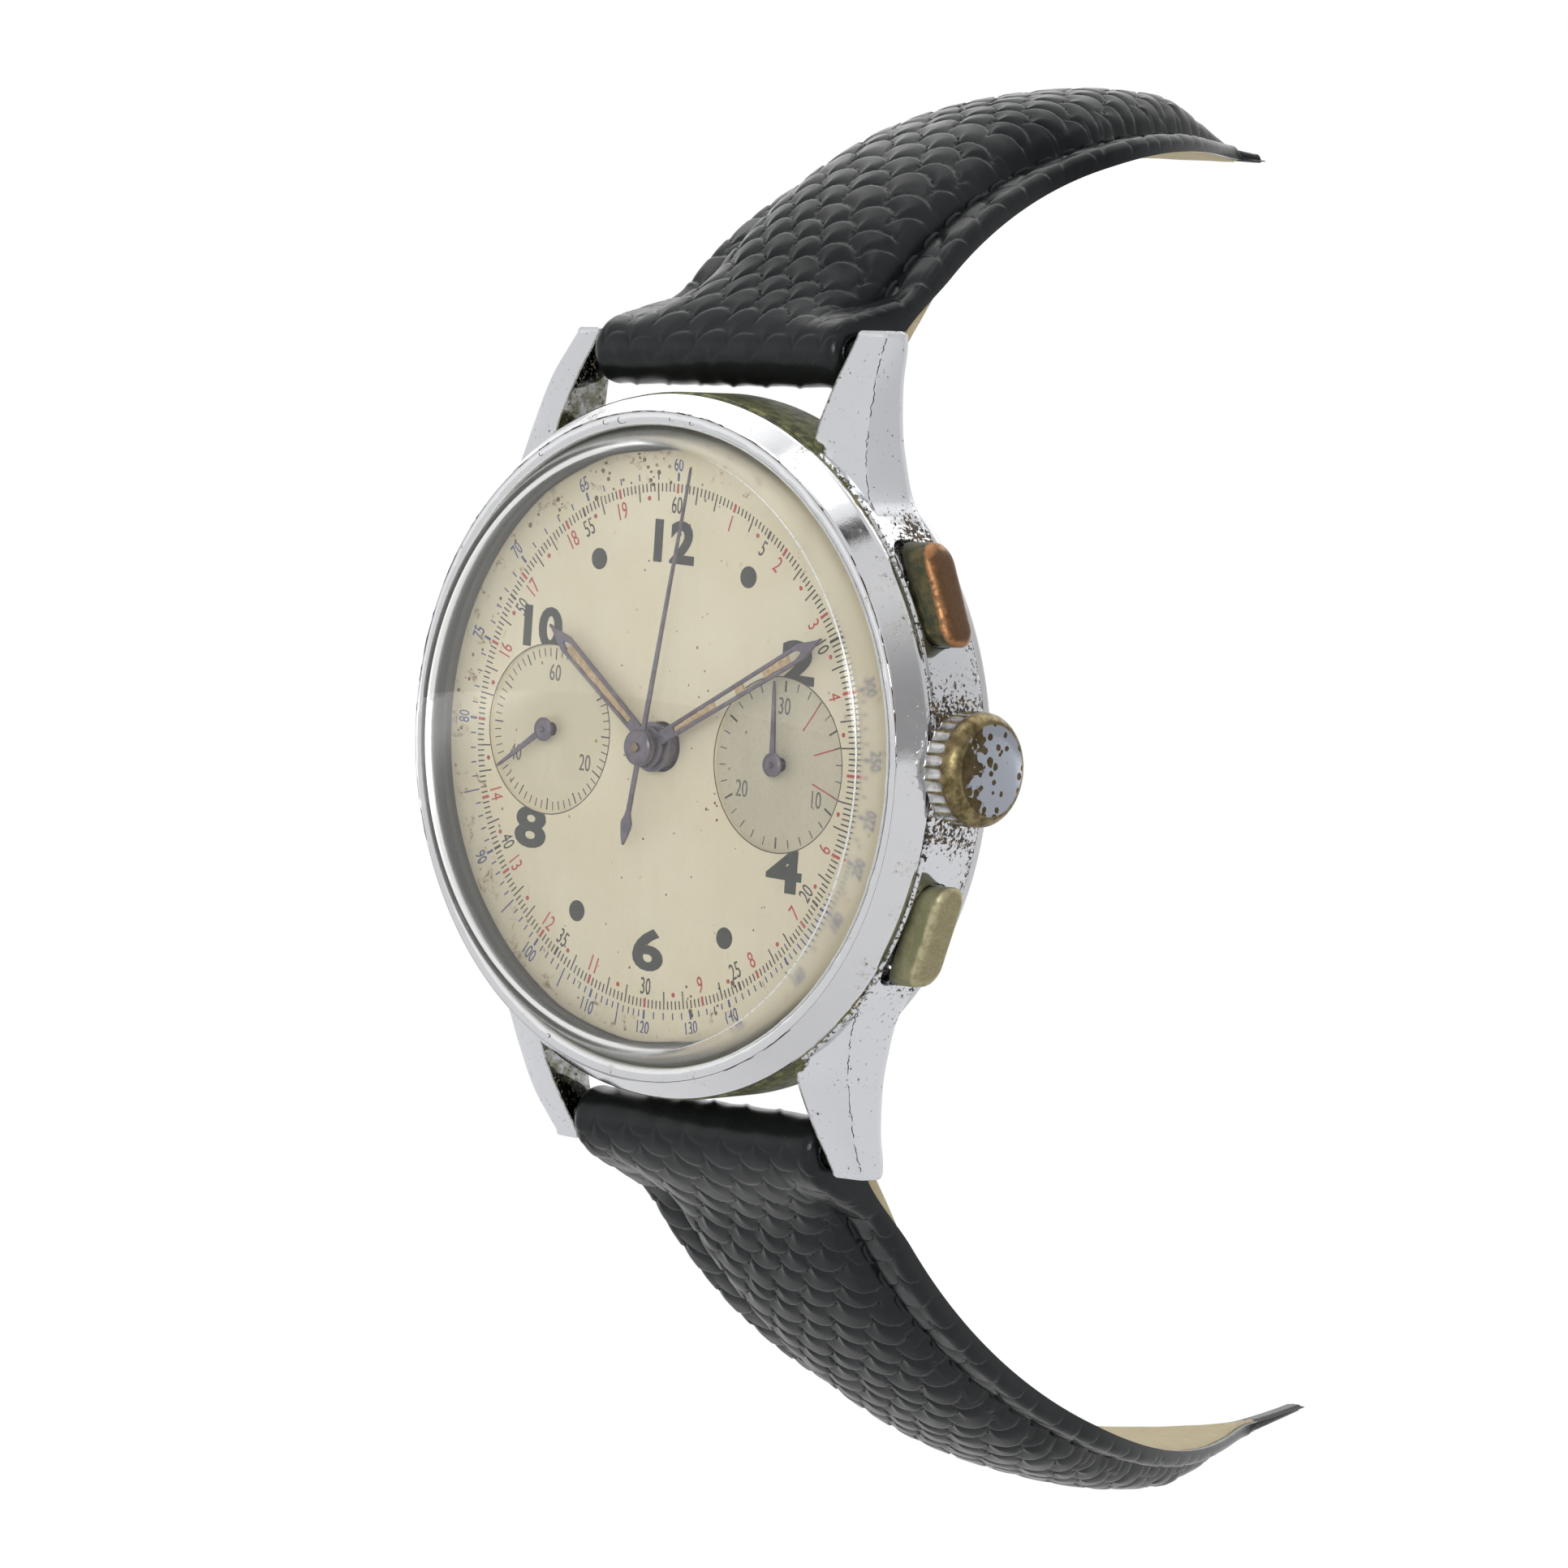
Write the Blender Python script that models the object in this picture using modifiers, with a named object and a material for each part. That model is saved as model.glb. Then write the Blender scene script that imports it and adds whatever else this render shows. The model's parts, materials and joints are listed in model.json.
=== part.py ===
"""Two-register hand-wound chronograph wristwatch, as separate named pieces.

Modelled in millimetres under one empty that turns the watch upright and scales it to metres.
Local axes: X to 3 o'clock, Y to 12 o'clock, Z (called h) out of the dial; h = 0 is the case back's outer face.
"""

from math import atan2, cos, hypot, pi, radians, sin, sqrt

import bmesh
import bpy
from mathutils import Matrix, Vector

# ---------------------------------------------------------------- driving dimensions (mm)
CASE_R = 18.1
CASE_BORE = 15.9
CASE_H0, CASE_H1 = 3.38, 7.25
BEZEL_R, BEZEL_EDGE_R, LIP_R = 18.0, 17.07, 16.42
DIAL_R, DIAL_H0, DIAL_H1 = 15.5, 7.2, 7.6
SUB_X, SUB_R, SUB_DEEP = 8.15, 4.4, 0.2
DIAL_TURN = radians(3.0)  # the movement sits turned clockwise in the case
LUG_IN = 9.1
BAR_Z, BAR_H = 20.2, 3.35
STEM_H = 5.75
CROWN_R, CROWN_X0, CROWN_X1 = 2.85, 18.4, 20.6
PUSH_Y, PUSH_LONG, PUSH_X1, PUSH_TRAVEL = 8.45, 5.1, 18.1, 1.0
PUSH_H0, PUSH_H1 = 4.7, 6.8
STRAP_W = 17.2
HOUR_AT, MINUTE_AT, CHRONO_AT, SECONDS_AT, COUNTER_AT = 308.0, 63.0, 12.0, 238.0, 0.0

for old in list(bpy.data.objects):
    bpy.data.objects.remove(old, do_unlink=True)

parts = bpy.data.collections.new("chronograph_wristwatch")
tools = bpy.data.collections.new("cutters")
for group in (parts, tools):
    bpy.context.scene.collection.children.link(group)
frame = bpy.data.objects.new("watch_frame", None)
frame.rotation_euler = (pi / 2, 0, 0)
frame.scale = (0.001, 0.001, 0.001)
parts.objects.link(frame)


def material(name, rgb, rough, metal):
    m = bpy.data.materials.new(name)
    m.use_nodes = True
    shader = m.node_tree.nodes["Principled BSDF"]
    shader.inputs["Base Color"].default_value = (*rgb, 1)
    shader.inputs["Roughness"].default_value = rough
    shader.inputs["Metallic"].default_value = metal
    return m


CHROME = material("chrome_plate", (0.62, 0.61, 0.58), 0.18, 1)
BRASS = material("worn_brass", (0.48, 0.37, 0.2), 0.35, 1)
NICKEL = material("nickel", (0.66, 0.64, 0.58), 0.3, 1)
GILT = material("gilt_wheels", (0.72, 0.55, 0.26), 0.28, 1)
STEEL = material("polished_steel", (0.52, 0.52, 0.54), 0.25, 1)
BLUED = material("blued_steel", (0.09, 0.07, 0.11), 0.3, 1)
DIAL = material("aged_dial", (0.72, 0.63, 0.45), 0.5, 0)
ACRYLIC = material("acrylic", (0.9, 0.9, 0.86), 0.05, 0)
LEATHER = material("black_leather", (0.012, 0.012, 0.013), 0.35, 0)
LINING = material("tan_lining", (0.6, 0.5, 0.36), 0.7, 0)
RUBBER = material("gasket", (0.03, 0.03, 0.03), 0.7, 0)


# ---------------------------------------------------------------- mesh helpers
def settle(mesh):
    bm = bmesh.new()
    bm.from_mesh(mesh)
    bmesh.ops.remove_doubles(bm, verts=bm.verts, dist=1e-4)
    bmesh.ops.recalc_face_normals(bm, faces=bm.faces)
    bm.to_mesh(mesh)
    bm.free()
    return mesh


def baked(obj):
    """The mesh that an object's curve or modifiers make; the object itself is dropped."""
    tools.objects.link(obj)
    bpy.context.view_layer.update()
    graph = bpy.context.evaluated_depsgraph_get()
    mesh = bpy.data.meshes.new_from_object(obj.evaluated_get(graph))
    bpy.data.objects.remove(obj, do_unlink=True)
    return settle(mesh)


def flat(loops, h0, h1):
    """A plate between two heights: the first loop is its outline, the others are holes."""
    curve = bpy.data.curves.new("outline", "CURVE")
    curve.dimensions = "2D"
    curve.fill_mode = "BOTH"
    curve.extrude = (h1 - h0) / 2
    for loop in loops:
        spline = curve.splines.new("POLY")
        spline.points.add(len(loop) - 1)
        for point, (x, y) in zip(spline.points, loop):
            point.co = (x, y, 0, 1)
        spline.use_cyclic_u = True
    mesh = baked(bpy.data.objects.new("outline", curve))
    mesh.transform(Matrix.Translation((0, 0, (h0 + h1) / 2)))
    return mesh


def turned(profile, steps=32, ring=False):
    """A turned piece from (radius, height) points; a ring's profile closes on itself."""
    mesh = bpy.data.meshes.new("profile")
    count = len(profile)
    edges = [(i, i + 1) for i in range(count - 1)] + ([(count - 1, 0)] if ring else [])
    mesh.from_pydata([(r, 0, z) for r, z in profile], edges, [])
    obj = bpy.data.objects.new("profile", mesh)
    screw = obj.modifiers.new("turn", "SCREW")
    screw.axis = "Z"
    screw.steps = screw.render_steps = steps
    screw.use_merge_vertices = True
    screw.merge_threshold = 1e-4
    return baked(obj)


def rod(r, h0, h1, steps=12, at=(0, 0)):
    mesh = turned([(0, h1), (r, h1), (r, h0), (0, h0)], steps)
    mesh.transform(Matrix.Translation((at[0], at[1], 0)))
    return mesh


def along_x(mesh, y=0.0, h=0.0):
    """Lays a mesh that was made along Z down along X, through (y, h)."""
    mesh.transform(Matrix.Translation((0, y, h)) @ Matrix.Rotation(pi / 2, 4, "Y"))
    return mesh


def block(lo, hi):
    return flat([[(lo[0], lo[1]), (hi[0], lo[1]), (hi[0], hi[1]), (lo[0], hi[1])]], lo[2], hi[2])


def loft(sections):
    """A closed skin over rings of the same point count."""
    bm = bmesh.new()
    rings = [[bm.verts.new(p) for p in ring] for ring in sections]
    n = len(rings[0])
    for low, high in zip(rings, rings[1:]):
        for i in range(n):
            bm.faces.new((low[i], low[(i + 1) % n], high[(i + 1) % n], high[i]))
    bm.faces.new(list(reversed(rings[0])))
    bm.faces.new(rings[-1])
    bmesh.ops.recalc_face_normals(bm, faces=bm.faces)
    mesh = bpy.data.meshes.new("loft")
    bm.to_mesh(mesh)
    bm.free()
    return mesh


def place(name, mesh, mat, at=(0, 0, 0), add=(), cut=()):
    """A finished piece, its origin at a point; meshes to join and to cut share its axes."""
    obj = bpy.data.objects.new(name, mesh)
    parts.objects.link(obj)
    mesh.materials.clear()
    mesh.materials.append(mat)
    obj.parent = frame
    obj.location = at
    for kind, group in (("UNION", add), ("DIFFERENCE", cut)):
        for i, tool in enumerate(group):
            other = bpy.data.objects.new(f"{name}_{kind.lower()}_{i}", tool)
            tools.objects.link(other)
            other.parent = frame
            other.location = at
            other.hide_render = True
            other.display_type = "WIRE"
            step = obj.modifiers.new(other.name, "BOOLEAN")
            step.operation = kind
            step.solver = "EXACT"
            step.object = other
    return obj


# ---------------------------------------------------------------- outline helpers
def ring_pts(r, n=24, at=(0, 0), start=0.0):
    return [(at[0] + r * cos(start + 2 * pi * i / n), at[1] + r * sin(start + 2 * pi * i / n)) for i in range(n)]


def teeth(n, r, tall=0.2):
    return [
        ((r + (tall / 2 if i % 2 == 0 else -tall / 2)) * cos(pi * i / n), (r + (tall / 2 if i % 2 == 0 else -tall / 2)) * sin(pi * i / n))
        for i in range(2 * n)
    ]


def windows(count, r0, r1, bar, arc=4):
    """Openings between the arms of a wheel."""
    loops = []
    for k in range(count):
        mid = 2 * pi * (k + 0.5) / count
        outer, inner = pi / count - bar / (2 * r1), pi / count - bar / (2 * r0)
        loop = [(r1 * cos(mid + outer * (2 * i / arc - 1)), r1 * sin(mid + outer * (2 * i / arc - 1))) for i in range(arc + 1)]
        loop += [(r0 * cos(mid + inner * s), r0 * sin(mid + inner * s)) for s in (1, 0, -1)]
        loops.append(loop)
    return loops


def capsule(p, q, wp, wq, n=6):
    """The outline round two discs of half-widths wp and wq."""
    a = atan2(q[1] - p[1], q[0] - p[0])
    tail = [(p[0] + wp * cos(a + pi / 2 + pi * i / n), p[1] + wp * sin(a + pi / 2 + pi * i / n)) for i in range(n + 1)]
    head = [(q[0] + wq * cos(a - pi / 2 + pi * i / n), q[1] + wq * sin(a - pi / 2 + pi * i / n)) for i in range(n + 1)]
    return tail + head


def limb(path, widths, h0, h1):
    """Plates that, joined, make a lever along a path: the first, and the rest to add."""
    return [flat([capsule(p, q, a, b)], h0 + 0.004 * i, h1 - 0.004 * i) for i, (p, q, a, b) in enumerate(zip(path, path[1:], widths, widths[1:]))]


def spiral(r0, r1, turns, thick, per_turn=16):
    n = int(turns * per_turn)
    out = []
    for side in (thick / 2, -thick / 2):
        leg = [
            ((r0 + (r1 - r0) * i / n + side) * cos(2 * pi * turns * i / n), (r0 + (r1 - r0) * i / n + side) * sin(2 * pi * turns * i / n))
            for i in range(n + 1)
        ]
        out += leg if side > 0 else leg[::-1]
    return out


def heart(r0, r1, n=20):
    """A reset heart: its radius grows evenly from r0 to r1 over half a turn."""
    return [((r0 + (r1 - r0) * (1 - abs(2 * i / n - 1))) * cos(2 * pi * i / n - pi / 2), (r0 + (r1 - r0) * (1 - abs(2 * i / n - 1))) * sin(2 * pi * i / n - pi / 2)) for i in range(n)]


def in_case(x, y):
    """A point of the movement, turned with it into the case."""
    return (x * cos(DIAL_TURN) + y * sin(DIAL_TURN), -x * sin(DIAL_TURN) + y * cos(DIAL_TURN))


def clock(deg, mesh):
    """Turns a hand that was drawn towards 12 to its clock angle."""
    mesh.transform(Matrix.Rotation(-radians(deg), 4, "Z"))
    return mesh


F = in_case(-SUB_X, 0)
M = in_case(SUB_X, 0)
T = in_case(-4.497, -2.561)
E = in_case(-8.75, 3.41)
B = in_case(-6.2, 8.2)
P = in_case(-7.72, 5.35)
I = in_case(4.018, -2.24)
W = in_case(1.5, -2.598)
BARREL = (4.35, 3.91)
CROWN_WHEEL = (10.5, 0.0)

# ---------------------------------------------------------------- case
lug_stations = [  # along Y: front inner h, ridge x, ridge h, outer x, rear h
    (10.9, 7.1, 14.0, 6.9, 14.2, 3.6),
    (12.0, 7.1, 13.5, 6.8, 13.7, 3.55),
    (13.25, 7.15, 12.65, 6.55, 12.95, 3.5),
    (14.8, 7.05, 12.15, 6.25, 12.5, 3.48),
    (16.4, 6.75, 11.85, 5.85, 12.15, 3.42),
    (18.7, 5.5, 11.5, 5.05, 11.8, 3.1),
    (20.3, 4.45, 11.15, 4.2, 11.5, 2.55),
    (21.1, 3.95, 11.0, 3.7, 11.3, 2.3),
    (21.45, 3.5, 10.85, 3.3, 11.1, 2.45),
]


def lug_inner(z):
    """The lug's inner face, kept outside the bore near its root."""
    return max(LUG_IN, sqrt(max(0.0, (CASE_BORE + 0.9) ** 2 - z**2)))


def lug(sx, sy):
    return loft([[(sx * lug_inner(z), sy * z, hf), (sx * xr, sy * z, hr), (sx * xo, sy * z, hb + 0.5), (sx * (xo - 0.15), sy * z, hb), (sx * lug_inner(z), sy * z, hb)] for z, hf, xr, hr, xo, hb in lug_stations])


def pusher_outline(sy, grow, inset, front):
    """A pusher head seen from the front, its two ends slanted along the case wall."""
    y0, y1 = PUSH_Y - PUSH_LONG / 2 - grow, PUSH_Y + PUSH_LONG / 2 + grow
    c = 0.55
    pts = [(16.7 - inset, y0), (front - c, y0), (front + 0.3, y0 + c), (front - 1.2, y1 - c), (front - 1.75, y1), (14.85 - inset, y1)]
    return [(x, sy * y) for x, y in pts]


def pocket(sy):
    return flat([pusher_outline(sy, 0.1, PUSH_TRAVEL + 0.15, 22)], PUSH_H0 - 0.08, PUSH_H1 + 0.08)


place(
    "midcase",
    turned([(CASE_R, CASE_H1 - 0.15), (CASE_R, CASE_H0 + 0.1), (CASE_R - 0.2, CASE_H0), (CASE_BORE, CASE_H0), (CASE_BORE, CASE_H1), (CASE_R - 0.15, CASE_H1)], 60, ring=True),
    CHROME,
    add=[lug(sx, sy) for sx in (1, -1) for sy in (1, -1)],
    cut=[
        along_x(rod(0.9, 12.0, 22.0, 16), 0, STEM_H),
        pocket(1),
        pocket(-1),
        along_x(rod(0.6, 10.0, 20.0, 12), PUSH_Y, STEM_H),
        along_x(rod(0.6, 10.0, 20.0, 12), -PUSH_Y, STEM_H),
        along_x(rod(0.45, -10.1, 10.1, 12), BAR_Z, BAR_H),
        along_x(rod(0.45, -10.1, 10.1, 12), -BAR_Z, BAR_H),
    ],
)
place("bezel", turned([(BEZEL_R, 7.62), (BEZEL_R, 7.3), (15.75, 7.3), (15.75, 7.66), (LIP_R, 7.66), (LIP_R, 8.86), (LIP_R + 0.2, 8.93), (BEZEL_EDGE_R, 8.93)], 56, ring=True), CHROME)
place(
    "crystal",
    turned(
        [(0, 11.6), (6, 11.43), (12, 10.86), (14.8, 10.38), (15.65, 9.9), (16.36, 8.6), (16.36, 7.7)]
        + [(15.85, 7.7), (15.2, 9.1), (14.2, 9.6), (12, 9.95), (6, 10.4), (0, 10.52)],
        40,
    ),
    ACRYLIC,
)
place(
    "caseback",
    turned(
        [(0, 0.75), (13.0, 0.8), (14.8, 1.5), (15.2, 2.2), (15.2, 4.2), (15.78, 4.2), (15.78, 3.3), (16.3, 3.3), (16.4, 3.18), (17.8, 3.18)]
        + [(17.85, 2.7), (16.6, 1.3), (13.9, 0.3), (11.8, 0), (0, 0)],
        44,
    ),
    CHROME,
)
place("caseback_gasket", turned([(15.42, 4.7), (15.42, 4.25), (15.82, 4.25), (15.82, 4.7)], 32, ring=True), RUBBER)
place(
    "movement_ring",
    turned([(15.85, 7.1), (15.85, 4.95), (15.46, 4.95), (15.46, 7.1)], 48, ring=True),
    NICKEL,
    cut=[along_x(rod(1.0, 12.0, 22.0, 12), 0, STEM_H), along_x(rod(0.6, 10.0, 20.0, 12), PUSH_Y, STEM_H), along_x(rod(0.6, 10.0, 20.0, 12), -PUSH_Y, STEM_H)],
)
place(
    "dial",
    turned([(0, DIAL_H1), (DIAL_R, DIAL_H1), (DIAL_R, DIAL_H0), (0, DIAL_H0)], 48),
    DIAL,
    cut=[rod(SUB_R, DIAL_H1 - SUB_DEEP, DIAL_H1 + 1, 32, F), rod(SUB_R, DIAL_H1 - SUB_DEEP, DIAL_H1 + 1, 32, M), rod(1.3, 6, 9, 20), rod(0.35, 6, 9, 12, F), rod(0.35, 6, 9, 12, M)],
)

# ---------------------------------------------------------------- hands


def baton(long, tail, w_root, w_tip, slot0, slot1, hub, bore):
    """A skeleton hand towards 12, with a slot for luminous paint."""
    a = [(w_root / 2, sqrt(hub**2 - w_root**2 / 4)), (w_tip / 2, long - 1.3), (0.09, long), (-0.09, long), (-w_tip / 2, long - 1.3), (-w_root / 2, sqrt(hub**2 - w_root**2 / 4))]
    top = atan2(a[0][1], a[0][0])
    arc = [(hub * cos(pi - top + (2 * top + pi) * i / 14), hub * sin(pi - top + (2 * top + pi) * i / 14)) for i in range(1, 14)]
    wall = 0.17
    slot = [(w_root / 2 - wall, slot0), (w_tip / 2 - wall, slot1), (-w_tip / 2 + wall, slot1), (-w_root / 2 + wall, slot0)]
    return [a + arc, slot, ring_pts(bore, 16)]


def needle(long, tail, w0, w1, hub, spear=False):
    """A thin hand towards 12 with a round hub; its counterweight is a bar or a spear."""
    y = sqrt(hub**2 - w0**2 / 4)
    top = atan2(y, w0 / 2)
    side = [(w0 / 2, y), (w1 / 2, long), (-w1 / 2, long), (-w0 / 2, y)]
    left = [(hub * cos(pi - top + (2 * top) * i / 6), hub * sin(pi - top + (2 * top) * i / 6)) for i in range(1, 7)]
    if spear:
        back = [(-w0 / 2, -tail * 0.5), (-0.42, -tail * 0.62), (-0.05, -tail), (0.05, -tail), (0.42, -tail * 0.62), (w0 / 2, -tail * 0.5)]
    else:
        back = [(-w0 / 2, -tail), (w0 / 2, -tail)]
    right = [(hub * cos(-top + (2 * top) * i / 6), hub * sin(-top + (2 * top) * i / 6)) for i in range(0, 6)]
    return [side + left + back + right]


place("hour_hand", clock(HOUR_AT, flat(baton(9.5, 0, 0.8, 0.95, 3.0, 7.6, 1.3, 0.85), 8.23, 8.38)), BLUED)
place("minute_hand", clock(MINUTE_AT, flat(baton(13.25, 0, 0.7, 0.85, 4.0, 11.2, 1.05, 0.45), 8.63, 8.78)), BLUED)
place("chronograph_hand", clock(CHRONO_AT, flat(needle(14.6, 5.1, 0.3, 0.14, 0.85, True), 9.06, 9.2)), BLUED, add=[rod(0.75, 9.1, 9.5, 16)])
place("running_seconds_hand", clock(SECONDS_AT, flat(needle(4.0, 1.0, 0.34, 0.16, 0.5), 7.98, 8.1)), BLUED, at=(*F, 0))
place("minute_counter_hand", clock(COUNTER_AT, flat(needle(4.15, 1.0, 0.34, 0.16, 0.5), 7.98, 8.1)), BLUED, at=(*M, 0))

# ---------------------------------------------------------------- crown, stem, pushers
crown_body = along_x(flat([teeth(28, CROWN_R - 0.07, 0.14)], CROWN_X0, CROWN_X1), 0, 0)
place("crown", crown_body, BRASS, at=(0, 0, STEM_H), cut=[along_x(rod(1.05, 18.0, 19.3, 16)), along_x(rod(0.5, 19.0, 19.9, 12))])
place("crown_tube", along_x(turned([(0.86, 18.9), (0.86, 16.1), (0.5, 16.1), (0.5, 18.9)], 16, ring=True), 0, STEM_H), STEEL)
stem_profile = [(0, 9.7), (0.3, 9.7), (0.3, 13.3), (0.25, 13.3), (0.25, 13.9), (0.42, 13.9), (0.42, 19.6), (0, 19.6)]
place("winding_stem", along_x(turned(stem_profile[::-1], 12)), STEEL, at=(0, 0, STEM_H))


def coil(r, wire, x0, x1, turns, per_turn=9):
    curve = bpy.data.curves.new("coil", "CURVE")
    curve.dimensions = "3D"
    curve.bevel_depth = wire
    curve.bevel_resolution = 0
    curve.use_fill_caps = True
    spline = curve.splines.new("POLY")
    n = turns * per_turn
    spline.points.add(n)
    for i, point in enumerate(spline.points):
        a = 2 * pi * i / per_turn
        point.co = (x0 + (x1 - x0) * i / n, r * cos(a), r * sin(a), 1)
    return baked(bpy.data.objects.new("coil", curve))


for side, sy in (("start", 1), ("reset", -1)):
    y = sy * PUSH_Y
    head = flat([pusher_outline(sy, 0, 0, PUSH_X1)], PUSH_H0, PUSH_H1)
    place(f"{side}_pusher", head, BRASS, cut=[along_x(rod(0.82, 12.0, 17.3, 14), y, STEM_H)], add=[])
    pusher = bpy.data.objects[f"{side}_pusher"]
    shaft = bpy.data.objects.new(f"{side}_pusher_shaft", along_x(rod(0.42, 11.9, 17.6, 12), y, STEM_H))
    tools.objects.link(shaft)
    shaft.parent = frame
    shaft.hide_render = True
    shaft.display_type = "WIRE"
    join = pusher.modifiers.new("shaft", "BOOLEAN")
    join.operation = "UNION"
    join.solver = "EXACT"
    join.object = shaft
    place(f"{side}_pusher_spring", coil(0.66, 0.08, 15.0, 17.15, 5), STEEL, at=(0, y, STEM_H))

# ---------------------------------------------------------------- strap
# strap line: where it starts behind the bar, its lean there, half way and at its tip (degrees), and its length
UPPER_LINE = ((8.2, 20.55), 54.3, 11.4, 0.3, 42.1)
LOWER_LINE = ((7.75, 21.6), 56.9, 19.4, -7.6, 53.0)
STRAP_THICK, STRAP_TIP_THICK, LINING_THICK = 4.0, 1.6, 0.8
UPPER_THIN_POWER, LOWER_THIN_POWER = 4.0, 2.6  # how late the padding of each half thins out
TAPER_FROM, TAPER_POWER, TIP_HALF_W = 0.45, 1.6, 1.0


def strap_path(start, lean0, lean_mid, lean1, length, n):
    """Points along the under side of a strap whose lean changes smoothly from the lug to the tip."""
    points = [Vector(start)]
    for i in range(n * 4):
        t = (i + 0.5) / (n * 4)
        lean = radians(lean0 * (1 - t) * (1 - 2 * t) + lean_mid * 4 * t * (1 - t) + lean1 * t * (2 * t - 1))
        points.append(points[-1] + length / (n * 4) * Vector((cos(lean), sin(lean))))
    return [tuple(p) for p in points[::4]]


UPPER = strap_path(*UPPER_LINE, 12)
LOWER = strap_path(*LOWER_LINE, 14)


def strap_lines(path):
    """Stations along a strap: point, outward direction and how far along it is (0 to 1)."""
    ways = [0.0]
    for (a, b), (c, d) in zip(path, path[1:]):
        ways.append(ways[-1] + hypot(c - a, d - b))
    out = []
    for i, (y, z) in enumerate(path):
        (a, b), (c, d) = path[max(i - 1, 0)], path[min(i + 1, len(path) - 1)]
        tangent = Vector((c - a, d - b)).normalized()
        out.append((Vector((y, z)), Vector((-tangent.y, tangent.x)), ways[i] / ways[-1]))
    return out


def strap_half(name, path, sy):
    """The padded leather round its spring bar, and the lining under it."""
    lines = strap_lines(path)
    bar = Vector((7.6 - BAR_H, BAR_Z))

    def wide(t):
        past = max(0.0, (t - TAPER_FROM) / (1 - TAPER_FROM))
        return max(TIP_HALF_W, (STRAP_W / 2 - 0.6 * t) * (1 - past**TAPER_POWER))

    def to_case(p):
        return (sy * p.y, 7.6 - p.x)

    roll = [bar + 1.75 * Vector((sin(a), -cos(a))) for a in [radians(d) for d in (70, 40, 10, -20, -50, -80, -110)]]
    inner = [p + n * (LINING_THICK + 0.05) for p, n, t in lines]
    power = UPPER_THIN_POWER if sy > 0 else LOWER_THIN_POWER
    outer = [p + n * (STRAP_THICK + (STRAP_TIP_THICK - STRAP_THICK) * t**power) for p, n, t in lines]
    stations = [(p + n, t) for p, n, t in lines]

    def taper(mesh):
        for v in mesh.vertices:
            near = min(stations, key=lambda s: (Vector((7.6 - v.co.z, sy * v.co.y)) - s[0]).length)
            v.co.x *= wide(near[1]) / (STRAP_W / 2)
        return mesh

    def lay(loop, half_w):
        mesh = flat([[to_case(p) for p in loop]], -half_w, half_w)
        mesh.transform(Matrix(((0, 0, 1, 0), (1, 0, 0, 0), (0, 1, 0, 0), (0, 0, 0, 1))))
        return taper(settle(mesh))

    def about_bar(mesh):
        mesh.transform(Matrix.Translation((0, -sy * BAR_Z, -BAR_H)))
        return mesh

    at = (0, sy * BAR_Z, BAR_H)
    place(f"{name}_strap", about_bar(lay(inner[::-1] + roll + outer, STRAP_W / 2)), LEATHER, at=at, cut=[along_x(rod(0.85, -12, 12, 16))])
    low = [p for p, n, t in lines]
    high = [p + n * LINING_THICK for p, n, t in lines]
    place(f"{name}_strap_lining", about_bar(lay(low[::-1] + high, STRAP_W / 2 - 0.15)), LINING, at=at)
    pin = [(0, 9.85), (0.4, 9.85), (0.4, 9.0), (0.75, 9.0), (0.75, -9.0), (0.4, -9.0), (0.4, -9.85), (0, -9.85)]
    place(f"{name}_spring_bar", along_x(turned(pin, 14)), STEEL, at=at)


strap_half("upper", UPPER, 1)
strap_half("lower", LOWER, -1)

# ---------------------------------------------------------------- plates
PLATE_BACK, PLATE_FRONT, BRIDGE_H0, BRIDGE_H1 = 5.3, 7.1, 2.75, 3.55
place(
    "mainplate",
    turned([(0, PLATE_FRONT), (15.4, PLATE_FRONT), (15.4, PLATE_BACK), (0, PLATE_BACK)], 44),
    NICKEL,
    cut=[
        rod(5.45, 4.0, 6.1, 28, BARREL),
        rod(5.7, 6.4, 8.0, 28),
        block((9.55, -1.5, 4.0), (13.1, 1.5, 8.0)),
        block((13.0, -0.6, 4.0), (17.0, 0.6, 6.4)),
        block((10.2, 7.6, 4.0), (17.0, 9.3, 6.7)),
        block((10.2, -9.3, 4.0), (17.0, -7.6, 6.7)),
        rod(0.6, 4.0, 8.0, 16),
        rod(0.4, 4.0, 8.0, 12, F),
        rod(0.4, 4.0, 8.0, 12, M),
    ],
)
foot = {"steps": 14}
barrel_outline = [(-1.6, -1.7), (1.4, -1.9), (5.5, -2.2), (9.0, -2.3), (12.4, -2.6), (13.3, 0.0), (12.9, 4.6), (10.0, 7.2), (9.4, 10.4), (5.5, 13.2), (0.5, 13.9), (-0.9, 11.5), (-0.9, 6.5), (-1.8, 2.5)]
place(
    "barrel_bridge",
    flat([barrel_outline], BRIDGE_H0, BRIDGE_H1),
    NICKEL,
    add=[rod(0.9, 3.2, 5.25, 14, (1.2, 12.6)), rod(0.75, 3.2, 5.25, 14, (12.0, 4.0)), rod(0.45, 3.2, 5.25, 12, (12.5, -2.0))],
    cut=[rod(0.4, 1, 5.0, 12), rod(0.95, 1, 5.0, 20, BARREL), rod(1.15, 1, 5.0, 20, CROWN_WHEEL), rod(0.4, 1, 5.0, 12, M)],
)
train_outline = [in_case(*p) for p in [(-13.9, -3.2), (-13.2, 1.0), (-10.3, 4.4), (-8.3, 4.05), (-6.8, 2.2), (-3.4, -1.2), (-2.9, -3.8), (-6.4, -9.6), (-9.6, -9.4)]]
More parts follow.
